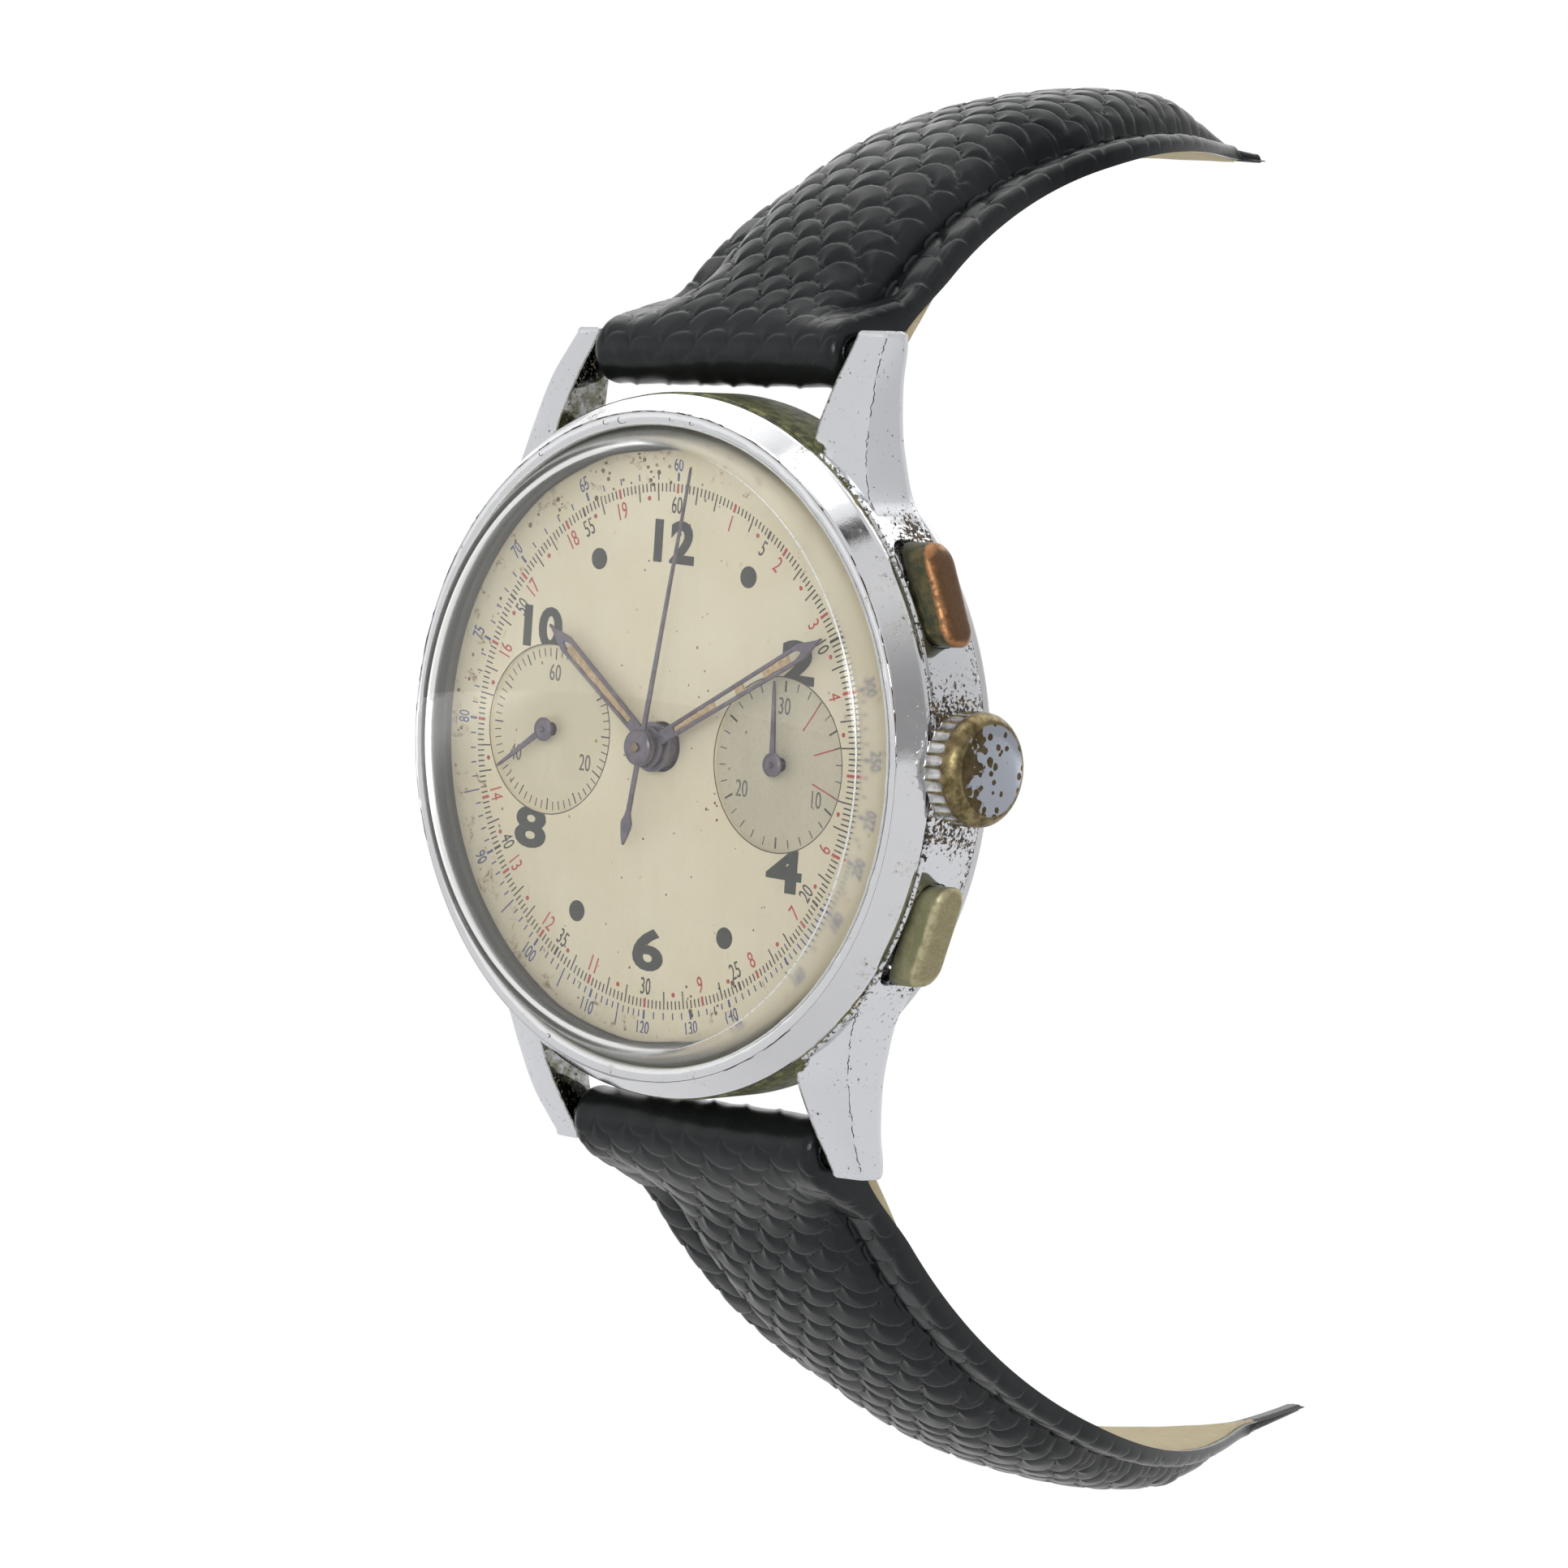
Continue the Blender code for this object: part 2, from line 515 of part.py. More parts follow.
place(
    "train_bridge",
    flat([train_outline], BRIDGE_H0, BRIDGE_H1),
    NICKEL,
    add=[rod(0.85, 3.2, 5.25, 14, in_case(-12.8, -2.2)), rod(0.9, 3.2, 5.25, 14, in_case(-8.0, -8.3))],
    cut=[rod(0.4, 1, 5.0, 12, F)],
)
cock_foot = in_case(-11.9, 6.6)
place("balance_cock", flat([capsule(cock_foot, B, 1.25, 1.0, 8)], 1.75, 2.4), NICKEL, add=[rod(1.05, 2.0, 5.25, 14, cock_foot)])
bridge_path = limb([(-1.5, -7.2), (0, 0), M, (12.4, -2.2)], [1.0, 1.0, 1.0, 0.55], 1.05, 1.3)
place("chronograph_bridge", bridge_path[0], NICKEL, add=[*bridge_path[1:], rod(0.7, 1.15, 5.25, 14, (-1.5, -7.2)), rod(0.45, 1.15, 2.7, 12, (12.4, -2.2))])

# ---------------------------------------------------------------- going train
ARBOR = 10


def wheel(name, at, mat, loops, h0, h1, add=(), cut=()):
    place(name, flat(loops, h0, h1), mat, at=(*at, 0), add=add, cut=cut)


drum = turned([(4.75, 6.0), (4.75, 4.55), (4.35, 4.55), (4.35, 5.75), (0.9, 5.75), (0.9, 6.0)], 28, ring=True)
place("mainspring_barrel", flat([teeth(64, 5.2), ring_pts(4.55, 28)], 4.62, 5.0), GILT, at=(*BARREL, 0), add=[drum])
place("mainspring", flat([spiral(1.1, 4.0, 4, 0.2, 12)], 4.6, 5.6), STEEL, at=(*BARREL, 0))
wheel("ratchet_wheel", BARREL, STEEL, [teeth(36, 5.2, 0.24)], 2.4, 2.68, add=[rod(0.85, 2.5, 5.95, 14)])
wheel("crown_wheel", CROWN_WHEEL, STEEL, [teeth(20, 1.98)], 2.4, 2.68, add=[rod(1.05, 2.5, 4.2, 14), flat([teeth(19, 1.9)], 4.05, 4.42)])
click = [(7.2, 8.85), (8.6, 7.75), (9.4, 8.3), (8.9, 9.4)]
place("click", flat([[(x - 8.8, y - 8.5) for x, y in click]], 2.4, 2.68), STEEL, at=(8.8, 8.5, 0))
wheel(
    "centre_wheel", (0, 0), GILT, [teeth(64, 4.6), *windows(4, 1.4, 3.8, 0.6, 3)], 3.75, 3.95,
    add=[flat([teeth(8, 0.62, 0.26)], 3.85, 5.1), rod(0.47, 3.6, 8.5, 12)], cut=[rod(0.34, 3, 9, 12)],
)
wheel("third_wheel", T, GILT, [teeth(60, 3.94), *windows(4, 1.2, 3.2, 0.6, 3)], 4.75, 4.9, add=[flat([teeth(8, 0.56, 0.2)], 3.68, 4.05), rod(0.25, 3.6, 5.25, ARBOR)])
wheel(
    "fourth_wheel", F, GILT, [teeth(60, 3.15), *windows(4, 1.1, 2.55, 0.55, 3)], 4.15, 4.3,
    add=[flat([teeth(8, 0.5, 0.2)], 4.62, 5.05), rod(0.25, 1.45, 7.95, ARBOR), flat([teeth(28, 1.98)], 1.55, 1.75)],
)
wheel("escape_wheel", E, STEEL, [teeth(15, 1.55, 0.36), *windows(4, 0.5, 1.15, 0.3, 3)], 4.65, 4.8, add=[flat([teeth(6, 0.3, 0.18)], 4.02, 4.42), rod(0.15, 3.6, 5.25, ARBOR)])
u = Vector((P[0] - E[0], P[1] - E[1])).normalized()
v = Vector((-u.y, u.x))
reach = (Vector(P) - Vector(E)).length
anchor = [(2.05 * cos(a), 2.05 * sin(a)) for a in [radians(d) for d in (-42, -28, -14, 0, 14, 28, 42)]]
anchor += [(2.45 * cos(radians(40)), 2.45 * sin(radians(40))), (2.75, 0.4), (2.9, 0.2), (4.55, 0.16), (4.55, -0.16), (2.9, -0.2), (2.75, -0.4), (2.45 * cos(radians(40)), -2.45 * sin(radians(40)))]
fork = [tuple(u * (a - reach) + v * b) for a, b in anchor]
place("pallet_fork", flat([fork], 4.65, 4.8), STEEL, at=(*P, 0), add=[rod(0.12, 3.7, 5.25, 8)])
wheel("balance_wheel", B, GILT, [ring_pts(4.2, 32), *windows(2, 0.7, 3.7, 0.6, 10)], 3.0, 3.35, add=[rod(0.2, 2.45, 5.25, ARBOR), rod(0.55, 4.0, 4.3, 14)])
place("hairspring", flat([spiral(0.5, 2.3, 4, 0.08, 12)], 2.6, 2.78), BLUED, at=(*B, 0))

# ---------------------------------------------------------------- motion work and keyless work
wheel("cannon_pinion", (0, 0), STEEL, [teeth(12, 0.78, 0.2)], 6.45, 6.72, add=[rod(0.72, 6.45, 8.6, 16)], cut=[rod(0.5, 5, 9, 14)])
wheel("minute_wheel", W, GILT, [teeth(36, 2.22)], 6.5, 6.68, add=[flat([teeth(10, 0.55, 0.18)], 6.6, 7.08)], cut=[rod(0.2, 6, 8, 10)])
wheel("hour_wheel", (0, 0), GILT, [teeth(40, 2.42, 0.16)], 6.92, 7.06, add=[rod(1.15, 6.92, 8.2, 20)], cut=[rod(0.88, 5, 9, 16)])
place("winding_pinion", along_x(flat([teeth(14, 1.22, 0.24), ring_pts(0.36, 12)], 11.9, 12.8)), STEEL, at=(0, 0, STEM_H))
place("sliding_pinion", along_x(flat([teeth(12, 0.95, 0.24), ring_pts(0.36, 12)], 10.2, 11.4)), STEEL, at=(0, 0, STEM_H))
setting = limb([(13.6, 0.75), (13.6, 2.3)], [0.16, 0.5], 4.75, 5.2)
for piece in setting:
    piece.transform(Matrix.Translation((-13.6, -2.3, 0)))
place("setting_lever", setting[0], STEEL, at=(13.6, 2.3, 0), add=setting[1:])

# ---------------------------------------------------------------- chronograph work
WORK_H0, WORK_H1, RUN_H0, RUN_H1 = 1.85, 2.1, 1.55, 1.75
wheel("chronograph_wheel", (0, 0), GILT, [teeth(40, 3.0), *windows(4, 1.7, 2.5, 0.5, 3)], RUN_H0, RUN_H1, add=[rod(0.27, 1.4, 9.02, 12), flat([heart(0.5, 1.25)], 1.7, WORK_H1)])
wheel("minute_counter_wheel", M, GILT, [teeth(42, 3.2), *windows(4, 1.7, 2.7, 0.5, 3)], RUN_H0, RUN_H1, add=[rod(0.25, 1.4, 7.95, ARBOR), flat([heart(0.5, 1.25)], 1.7, WORK_H1)])
wheel("intermediate_wheel", I, GILT, [teeth(20, 1.5)], RUN_H0, RUN_H1, add=[rod(0.2, 1.4, 2.65, ARBOR)])
REST_TURN = radians(14)
K = Vector((-F[0], -F[1])).normalized() * 3.575
K = Vector((K.x * cos(REST_TURN) - K.y * sin(REST_TURN), K.x * sin(REST_TURN) + K.y * cos(REST_TURN)))
wheel("coupling_wheel", (F[0] + K.x, F[1] + K.y), GILT, [teeth(22, 1.575), ring_pts(0.3, 10)], RUN_H0, RUN_H1)
arm = limb([(-2.6, 2.6), (0, 0), (K.x, K.y)], [0.4, 0.85, 0.6], WORK_H0, WORK_H1)
place("coupling_lever", arm[0], STEEL, at=(*F, 0), add=[arm[1], rod(0.22, 1.5, 2.0, 10, K)], cut=[rod(0.4, 1, 5, 12)])
COLUMN = (5.6, 10.6)
wheel("column_wheel", COLUMN, STEEL, [teeth(12, 1.15, 0.3)], WORK_H0, WORK_H1, add=[flat([teeth(6, 0.75, 0.3)], 1.45, 2.0), rod(0.3, 1.5, 2.7, 10)])
START_PIVOT, RESET_PIVOT = (11.6, 3.9), (11.6, -3.9)


def moved(meshes, to):
    for mesh in meshes:
        mesh.transform(Matrix.Translation((-to[0], -to[1], 0)))
    return meshes


start = moved(limb([(8.1, 9.8), (11.4, 8.45), START_PIVOT], [0.25, 0.45, 0.7], WORK_H0, WORK_H1) + [block((11.2, 8.1, 1.95), (11.75, 8.8, 6.2))], START_PIVOT)
place("start_lever", start[0], STEEL, at=(*START_PIVOT, 0), add=start[1:])
reset = moved(
    limb([(11.4, -8.45), RESET_PIVOT, (8.2, -3.2), (4.6, -4.9), (0.0, -4.7)], [0.45, 0.7, 0.55, 0.4, 0.45], WORK_H0, WORK_H1) + [block((11.2, -8.8, 1.95), (11.75, -8.1, 6.2))],
    RESET_PIVOT,
)
place("reset_hammer", reset[0], STEEL, at=(*RESET_PIVOT, 0), add=reset[1:])
screw_profile = [(0, 4.55), (0.95, 4.55), (0.95, 4.9), (0.35, 4.9), (0.35, 5.25), (0, 5.25)]
for name, at in (("casing_screw_upper", (-3.0, 13.6)), ("casing_screw_lower", (3.0, -13.6))):
    place(name, turned(screw_profile[::-1], 16), STEEL, at=(*at, 0), cut=[block((-1.2, -0.12, 4.4), (1.2, 0.12, 4.7))])
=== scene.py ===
"""Looks of a hand-wound two-register chronograph wristwatch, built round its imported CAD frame.

Meshes are made in watch millimetres (x to 3 o'clock, y to 12 o'clock, h out of the dial, h = 0 on the case back)
and laid into the row frame by W(): world = (x, -h, y) / 1000.
"""

import json
from math import atan2, cos, hypot, pi, radians, sin, sqrt

import bmesh
import bpy
import numpy as np
from mathutils import Matrix, Vector

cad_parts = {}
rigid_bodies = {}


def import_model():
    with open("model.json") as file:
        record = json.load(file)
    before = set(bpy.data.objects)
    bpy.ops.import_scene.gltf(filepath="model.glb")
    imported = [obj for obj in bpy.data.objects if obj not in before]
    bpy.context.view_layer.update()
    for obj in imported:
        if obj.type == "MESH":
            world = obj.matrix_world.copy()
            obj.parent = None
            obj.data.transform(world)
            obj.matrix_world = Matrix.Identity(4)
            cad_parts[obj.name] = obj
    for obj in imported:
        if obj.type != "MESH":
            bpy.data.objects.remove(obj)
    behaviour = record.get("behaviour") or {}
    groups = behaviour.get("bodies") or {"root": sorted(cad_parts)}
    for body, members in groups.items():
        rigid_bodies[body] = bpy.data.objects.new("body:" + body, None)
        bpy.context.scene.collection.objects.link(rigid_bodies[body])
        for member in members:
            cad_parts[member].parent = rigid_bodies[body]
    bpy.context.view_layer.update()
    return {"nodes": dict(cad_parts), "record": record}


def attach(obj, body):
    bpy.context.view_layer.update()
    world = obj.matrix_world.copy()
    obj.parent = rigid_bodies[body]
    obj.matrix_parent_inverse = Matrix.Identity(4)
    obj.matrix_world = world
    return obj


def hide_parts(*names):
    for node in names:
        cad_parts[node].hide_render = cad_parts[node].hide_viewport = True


for old in list(bpy.data.objects):
    bpy.data.objects.remove(old, do_unlink=True)
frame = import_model()

# ---------------------------------------------------------------- sizes shared with the CAD (mm)
DIAL_H, SUB_X, SUB_R, SUB_DEEP = 7.6, 8.15, 4.4, 0.2
TURN = radians(3.0)
STEM_H, PUSH_Y = 5.75, 8.45
BAR_Z, BAR_H, LUG_IN = 20.2, 3.35, 9.1
HOUR_AT, MINUTE_AT, CHRONO_AT, SECONDS_AT, COUNTER_AT = 308.0, 63.0, 12.0, 238.0, 0.0


def W(a):
    a = np.asarray(a, float)
    return np.stack([a[:, 0], -a[:, 2], a[:, 1]], 1) * 1e-3


def turned_pt(x, y):
    return (x * cos(TURN) + y * sin(TURN), -x * sin(TURN) + y * cos(TURN))


F, M = turned_pt(-SUB_X, 0), turned_pt(SUB_X, 0)


# ---------------------------------------------------------------- material helper
class Mat:
    """A Principled material with procedural inputs. co is the object's own place in millimetres: (x, -h, y)."""

    def __init__(self, name, rough=0.5, metal=0.0, **more):
        self.mat = bpy.data.materials.new(name)
        self.mat.use_nodes = True
        self.tree = self.mat.node_tree
        self.bsdf = self.tree.nodes["Principled BSDF"]
        self.bsdf.inputs["Roughness"].default_value = rough
        self.bsdf.inputs["Metallic"].default_value = metal
        for key, value in more.items():
            self.bsdf.inputs[key.replace("_", " ")].default_value = value
        place = self.new("ShaderNodeTexCoord")
        scale = self.new("ShaderNodeMapping")
        scale.inputs["Scale"].default_value = (1000, 1000, 1000)
        self.link(place.outputs["Object"], scale.inputs["Vector"])
        self.co = scale.outputs["Vector"]

    def new(self, kind):
        return self.tree.nodes.new(kind)

    def link(self, a, b):
        self.tree.links.new(a, b)

    def feed(self, socket, value):
        if hasattr(value, "links"):
            self.link(value, socket)
        else:
            socket.default_value = value

    def to(self, name, value):
        self.feed(self.bsdf.inputs[name], value)
        return self

    def xyz(self):
        parts = self.new("ShaderNodeSeparateXYZ")
        self.link(self.co, parts.inputs[0])
        return parts.outputs

    def scaled(self, x, y, z):
        node = self.new("ShaderNodeMapping")
        node.inputs["Scale"].default_value = (x, y, z)
        self.link(self.co, node.inputs["Vector"])
        return node.outputs["Vector"]

    def noise(self, scale, detail=4.0, rough=0.55, warp=0.0, vec=None):
        node = self.new("ShaderNodeTexNoise")
        self.link(vec or self.co, node.inputs["Vector"])
        node.inputs["Scale"].default_value = scale
        node.inputs["Detail"].default_value = detail
        node.inputs["Roughness"].default_value = rough
        node.inputs["Distortion"].default_value = warp
        return node.outputs["Fac"]

    def cells(self, scale, feature="F1", vec=None, jitter=1.0):
        node = self.new("ShaderNodeTexVoronoi")
        node.feature = feature
        self.link(vec or self.co, node.inputs["Vector"])
        node.inputs["Scale"].default_value = scale
        node.inputs["Randomness"].default_value = jitter
        return node.outputs["Distance"]

    def math(self, op, a, b=0.0, clamp=False):
        node = self.new("ShaderNodeMath")
        node.operation = op
        node.use_clamp = clamp
        self.feed(node.inputs[0], a)
        self.feed(node.inputs[1], b)
        return node.outputs[0]

    def step(self, value, low, high, out0=0.0, out1=1.0):
        """Smooth ramp of a value between two limits."""
        node = self.new("ShaderNodeMapRange")
        node.interpolation_type = "SMOOTHSTEP"
        self.feed(node.inputs["Value"], value)
        node.inputs["From Min"].default_value = low
        node.inputs["From Max"].default_value = high
        node.inputs["To Min"].default_value = out0
        node.inputs["To Max"].default_value = out1
        return node.outputs["Result"]

    def mix(self, fac, a, b):
        node = self.new("ShaderNodeMix")
        node.data_type = "RGBA"
        self.feed(node.inputs["Factor"], fac)
        for socket, value in ((node.inputs[6], a), (node.inputs[7], b)):
            self.feed(socket, value if hasattr(value, "links") else (*value, 1.0))
        return node.outputs[2]

    def lerp(self, fac, a, b):
        node = self.new("ShaderNodeMix")
        node.data_type = "FLOAT"
        self.feed(node.inputs["Factor"], fac)
        self.feed(node.inputs[2], a)
        self.feed(node.inputs[3], b)
        return node.outputs[0]

    def bump(self, height, strength, distance=0.05):
        node = self.new("ShaderNodeBump")
        node.inputs["Strength"].default_value = strength
        node.inputs["Distance"].default_value = distance * 1e-3
        self.link(height, node.inputs["Height"])
        self.link(node.outputs["Normal"], self.bsdf.inputs["Normal"])
        return self


def worn_chrome(name, pits=0.0, green=None, sides=True, tone=0.8, bare=0.0):
    """Old chrome plating: fine polish marks, pits that go through to brown and black, and green salts in corners."""
    m = Mat(name, metal=1.0)
    x, y, z = m.xyz()
    fine = m.noise(1.1, 6, 0.6)
    speck = m.noise(3.4, 8, 0.72, 0.3)
    patch = m.noise(0.45, 3, 0.5)
    level = m.math("ADD", m.math("MULTIPLY", patch, 0.5), m.math("MULTIPLY", speck, 0.62))
    right = m.math("MULTIPLY", m.step(x, 12.5, 16.5), m.step(m.math("ABSOLUTE", z), 15.5, 11.0)) if sides else 0.0
    level = m.math("ADD", level, m.math("MULTIPLY", right, 0.085 + pits))
    pit = m.step(level, 0.715, 0.76)
    halo = m.step(level, 0.66, 0.73)
    chrome = m.mix(fine, (tone * 0.93, tone * 0.94, tone * 0.97), (tone, tone, tone * 1.01))
    colour = m.mix(m.math("MULTIPLY", halo, 0.5), chrome, (0.42, 0.38, 0.3))
    colour = m.mix(pit, colour, m.mix(m.noise(2.0, 2), (0.018, 0.014, 0.01), (0.13, 0.085, 0.035)))
    metal = m.math("SUBTRACT", 1.0, m.math("MULTIPLY", pit, 0.9))
    rough = m.math("ADD", m.step(fine, 0.35, 0.75, 0.06, 0.14), m.math("MULTIPLY", halo, 0.3))
    if green is not None:
        h = m.math("MULTIPLY", y, -1.0)
        low, high = green
        near = m.math("MULTIPLY", m.step(h, low, high), m.step(m.math("ABSOLUTE", z), 7.0, 13.0))
        salt = m.step(m.math("ADD", m.math("MULTIPLY", near, 0.42), m.math("MULTIPLY", m.noise(1.3, 5, 0.65), 0.6)), 0.56, 0.68)
        colour = m.mix(salt, colour, m.mix(m.noise(2.6, 3), (0.10, 0.105, 0.03), (0.24, 0.21, 0.075)))
        metal = m.math("MULTIPLY", metal, m.math("SUBTRACT", 1.0, salt))
        rough = m.math("ADD", rough, m.math("MULTIPLY", salt, 0.55), clamp=True)
    m.to("Base Color", colour).to("Metallic", metal).to("Roughness", rough)
    dents = m.math("ADD", m.math("MULTIPLY", m.noise(0.7, 2), 0.25), m.math("MULTIPLY", pit, -0.35))
    m.bump(m.math("ADD", dents, m.math("MULTIPLY", m.noise(9.0, 3), 0.05)), 0.22, 0.12)
    return m.mat


def metal(name, low, high, rough, grain=6.0, spread=0.1, strength=0.12):
    m = Mat(name, metal=1.0)
    n = m.noise(grain, 5, 0.6)
    m.to("Base Color", m.mix(n, low, high)).to("Roughness", m.step(n, 0.3, 0.7, rough - spread / 2, rough + spread / 2))
    m.bump(n, strength, 0.03)
    return m.mat


def case_chrome():
    """The case middle: bluish chrome with black pits gathered round the pushers, the crown and the rear edge, and green salts where it meets the bezel and the lugs."""
    m = Mat("case_chrome", metal=1.0)
    x, y, z = m.xyz()
    h = m.math("MULTIPLY", y, -1.0)
    az, ax = m.math("ABSOLUTE", z), m.math("ABSOLUTE", x)
    r = m.math("POWER", m.math("ADD", m.math("POWER", x, 2.0), m.math("POWER", z, 2.0)), 0.5)
    fine, patch = m.noise(1.1, 6, 0.6), m.noise(0.6, 4, 0.6)
    right = m.step(x, 12.2, 14.0)
    rear = m.math("MULTIPLY", m.step(h, 4.7, 3.5), right)
    ends = m.math("MULTIPLY", m.step(m.math("ABSOLUTE", m.math("SUBTRACT", az, 11.3)), 2.3, 0.2), right)
    ends = m.math("MULTIPLY", m.math("MULTIPLY", ends, m.step(h, 6.9, 5.6)), m.step(z, -9.0, 0.0, 0.45, 1.0))
    crown = m.math("MULTIPLY", m.step(az, 5.6, 3.0), m.step(x, 15.5, 17.0))
    inner = m.math("MULTIPLY", m.step(ax, 9.3, 9.16), m.step(az, 12.5, 13.5))
    under = m.math("MULTIPLY", m.step(h, 6.6, 7.05), m.step(r, 17.5, 17.9))
    dense = m.math("MAXIMUM", m.math("MAXIMUM", m.math("MULTIPLY", rear, 0.75), ends), m.math("MAXIMUM", m.math("MULTIPLY", crown, 0.92), m.math("MAXIMUM", m.math("MULTIPLY", inner, 0.4), m.math("MULTIPLY", under, 0.6))))
    dense = m.math("ADD", m.math("MULTIPLY", dense, 0.2), m.math("MULTIPLY", m.math("SUBTRACT", patch, 0.56), 0.26))
    speck = m.math("ADD", m.noise(4.6, 4, 0.62, 0.2), dense)
    pit, halo = m.step(speck, 0.655, 0.69), m.step(speck, 0.6, 0.66)
    chrome = m.mix(fine, (0.7, 0.715, 0.745), (0.745, 0.755, 0.785))
    colour = m.mix(m.math("MULTIPLY", halo, 0.35), chrome, (0.45, 0.42, 0.34))
    colour = m.mix(pit, colour, m.mix(m.step(m.noise(1.7, 3), 0.4, 0.65), (0.012, 0.011, 0.01), (0.1, 0.06, 0.02)))
    colour = m.mix(m.math("MULTIPLY", inner, m.step(m.noise(1.4, 5, 0.65), 0.34, 0.62, 0.35, 0.9)), colour, (0.14, 0.135, 0.085))
    corner = m.math("MULTIPLY", m.step(ax, 10.6, 9.4), m.math("MULTIPLY", m.step(az, 13.2, 15.6), m.step(r, 18.6, 18.25)))
    root = m.math("MULTIPLY", inner, m.step(az, 17.2, 15.6))
    seam = m.math("MULTIPLY", m.step(h, 6.75, 7.2), m.step(r, 19.4, 18.2))
    seam = m.math("MULTIPLY", seam, m.step(az, 5.0, 9.0, 0.35, 1.0))
    wet = m.math("MAXIMUM", m.math("MAXIMUM", corner, m.math("MULTIPLY", root, 0.95)), m.math("MULTIPLY", seam, 0.62))
    salt = m.step(m.math("ADD", m.math("MULTIPLY", wet, 0.44), m.math("MULTIPLY", m.noise(2.6, 6, 0.68), 0.6)), 0.56, 0.64)
    green = m.mix(m.step(m.noise(1.6, 5, 0.65), 0.36, 0.66), (0.035, 0.04, 0.014), (0.17, 0.17, 0.06))
    colour = m.mix(salt, colour, green)
    gone = m.math("MAXIMUM", pit, salt)
    m.to("Base Color", colour).to("Metallic", m.math("SUBTRACT", 1.0, m.math("MULTIPLY", gone, 0.92)))
    m.to("Roughness", m.math("ADD", m.step(fine, 0.35, 0.75, 0.05, 0.12), m.math("ADD", m.math("MULTIPLY", halo, 0.12), m.math("MULTIPLY", gone, 0.45)), clamp=True))
    dents = m.math("ADD", m.math("MULTIPLY", m.noise(0.7, 2), 0.2), m.math("MULTIPLY", pit, -0.45))
    m.bump(m.math("ADD", dents, m.math("MULTIPLY", m.math("MULTIPLY", salt, m.noise(6.0, 4)), 0.6)), 0.2, 0.12)
    return m.mat


BEZEL_MAT = worn_chrome("bezel_chrome", pits=-0.05, green=(7.75, 7.35), tone=0.745)
def seat_material():
    """The wall that holds the crystal: a painted light-to-shade gradient, pale near the lip and dark green-grey below,
    with painted shade in dark olive on the ledge.
    """
    m = Mat("crystal_seat", rough=0.42)
    x, y, z = m.xyz()
    h = m.math("MULTIPLY", y, -1.0)
    seat_noise = m.noise(1.4, 5, 0.65)
    # painted shade: the seat wall goes from pale near the lip to near black below, and the ledge is painted dark olive
    wall = m.mix(m.step(h, 8.15, 8.85), (0.045, 0.05, 0.04), (0.7, 0.71, 0.69))
    m.to("Base Color", m.mix(m.step(m.math("ADD", h, m.math("MULTIPLY", seat_noise, 0.3)), 7.95, 7.75), wall, (0.075, 0.07, 0.045)))
    m.to("Roughness", m.step(seat_noise, 0.3, 0.7, 0.36, 0.5))
    return m.mat


SEAT_MAT = seat_material()
CASE_MAT = case_chrome()
BACK_MAT = worn_chrome("back_steel", pits=-0.02, sides=False, tone=0.66)
GRIME = metal("crack_grime", (0.03, 0.02, 0.012), (0.1, 0.06, 0.03), 0.7)
NICKEL = metal("nickel_plates", (0.5, 0.48, 0.43), (0.66, 0.64, 0.58), 0.32)
GILT = metal("gilt_wheels", (0.6, 0.43, 0.18), (0.76, 0.58, 0.28), 0.28)
STEEL = metal("steel_parts", (0.42, 0.42, 0.44), (0.58, 0.58, 0.6), 0.26)


def crown_material():
    """Brass with what is left of its chrome: bright in the flutes, speckled over most of the flat end."""
    m = Mat("worn_crown", metal=1.0)
    x, y, z = m.xyz()
    r = m.math("POWER", m.math("ADD", m.math("POWER", m.math("ADD", y, STEM_H), 2.0), m.math("POWER", z, 2.0)), 0.5)
    grime = m.noise(2.2, 5, 0.6)
    brass = m.mix(m.step(grime, 0.3, 0.7), (0.1, 0.075, 0.034), (0.28, 0.225, 0.115))
    hollow = m.math("MULTIPLY", m.step(r, 2.8, 2.74), m.step(x, 19.85, 19.6))
    side = m.mix(m.math("MULTIPLY", hollow, m.step(m.noise(1.1, 4), 0.3, 0.5, 0.55, 1.0)), brass, (0.6, 0.6, 0.6))
    face = m.step(x, 20.5, 20.53)
    blot = m.math("ADD", m.math("MULTIPLY", m.noise(1.05, 5, 0.6), 0.6), m.math("MULTIPLY", m.step(y, -7.6, -4.6), 0.34))
    left = m.math("MULTIPLY", m.step(blot, 0.37, 0.385), m.step(r, 2.3, 2.24))
    spots = m.math("ADD", m.cells(1.9), m.math("MULTIPLY", m.noise(1.1, 3), 0.7))
    left = m.math("MULTIPLY", m.math("MULTIPLY", left, m.step(spots, 0.68, 0.71)), face)
    brass = m.mix(m.math("MULTIPLY", face, m.step(r, 2.3, 2.2, 0.0, 0.75)), brass, (0.06, 0.042, 0.022))
    side = m.mix(face, side, brass)
    m.to("Base Color", m.mix(left, side, (0.36, 0.38, 0.43)))
    m.to("Roughness", m.lerp(m.math("MAXIMUM", left, hollow), m.step(grime, 0.3, 0.7, 0.42, 0.3), 0.2))
    m.bump(m.math("ADD", m.math("MULTIPLY", left, 0.6), m.math("MULTIPLY", grime, 0.25)), 0.3, 0.05)
    return m.mat


CROWN_MAT = crown_material()


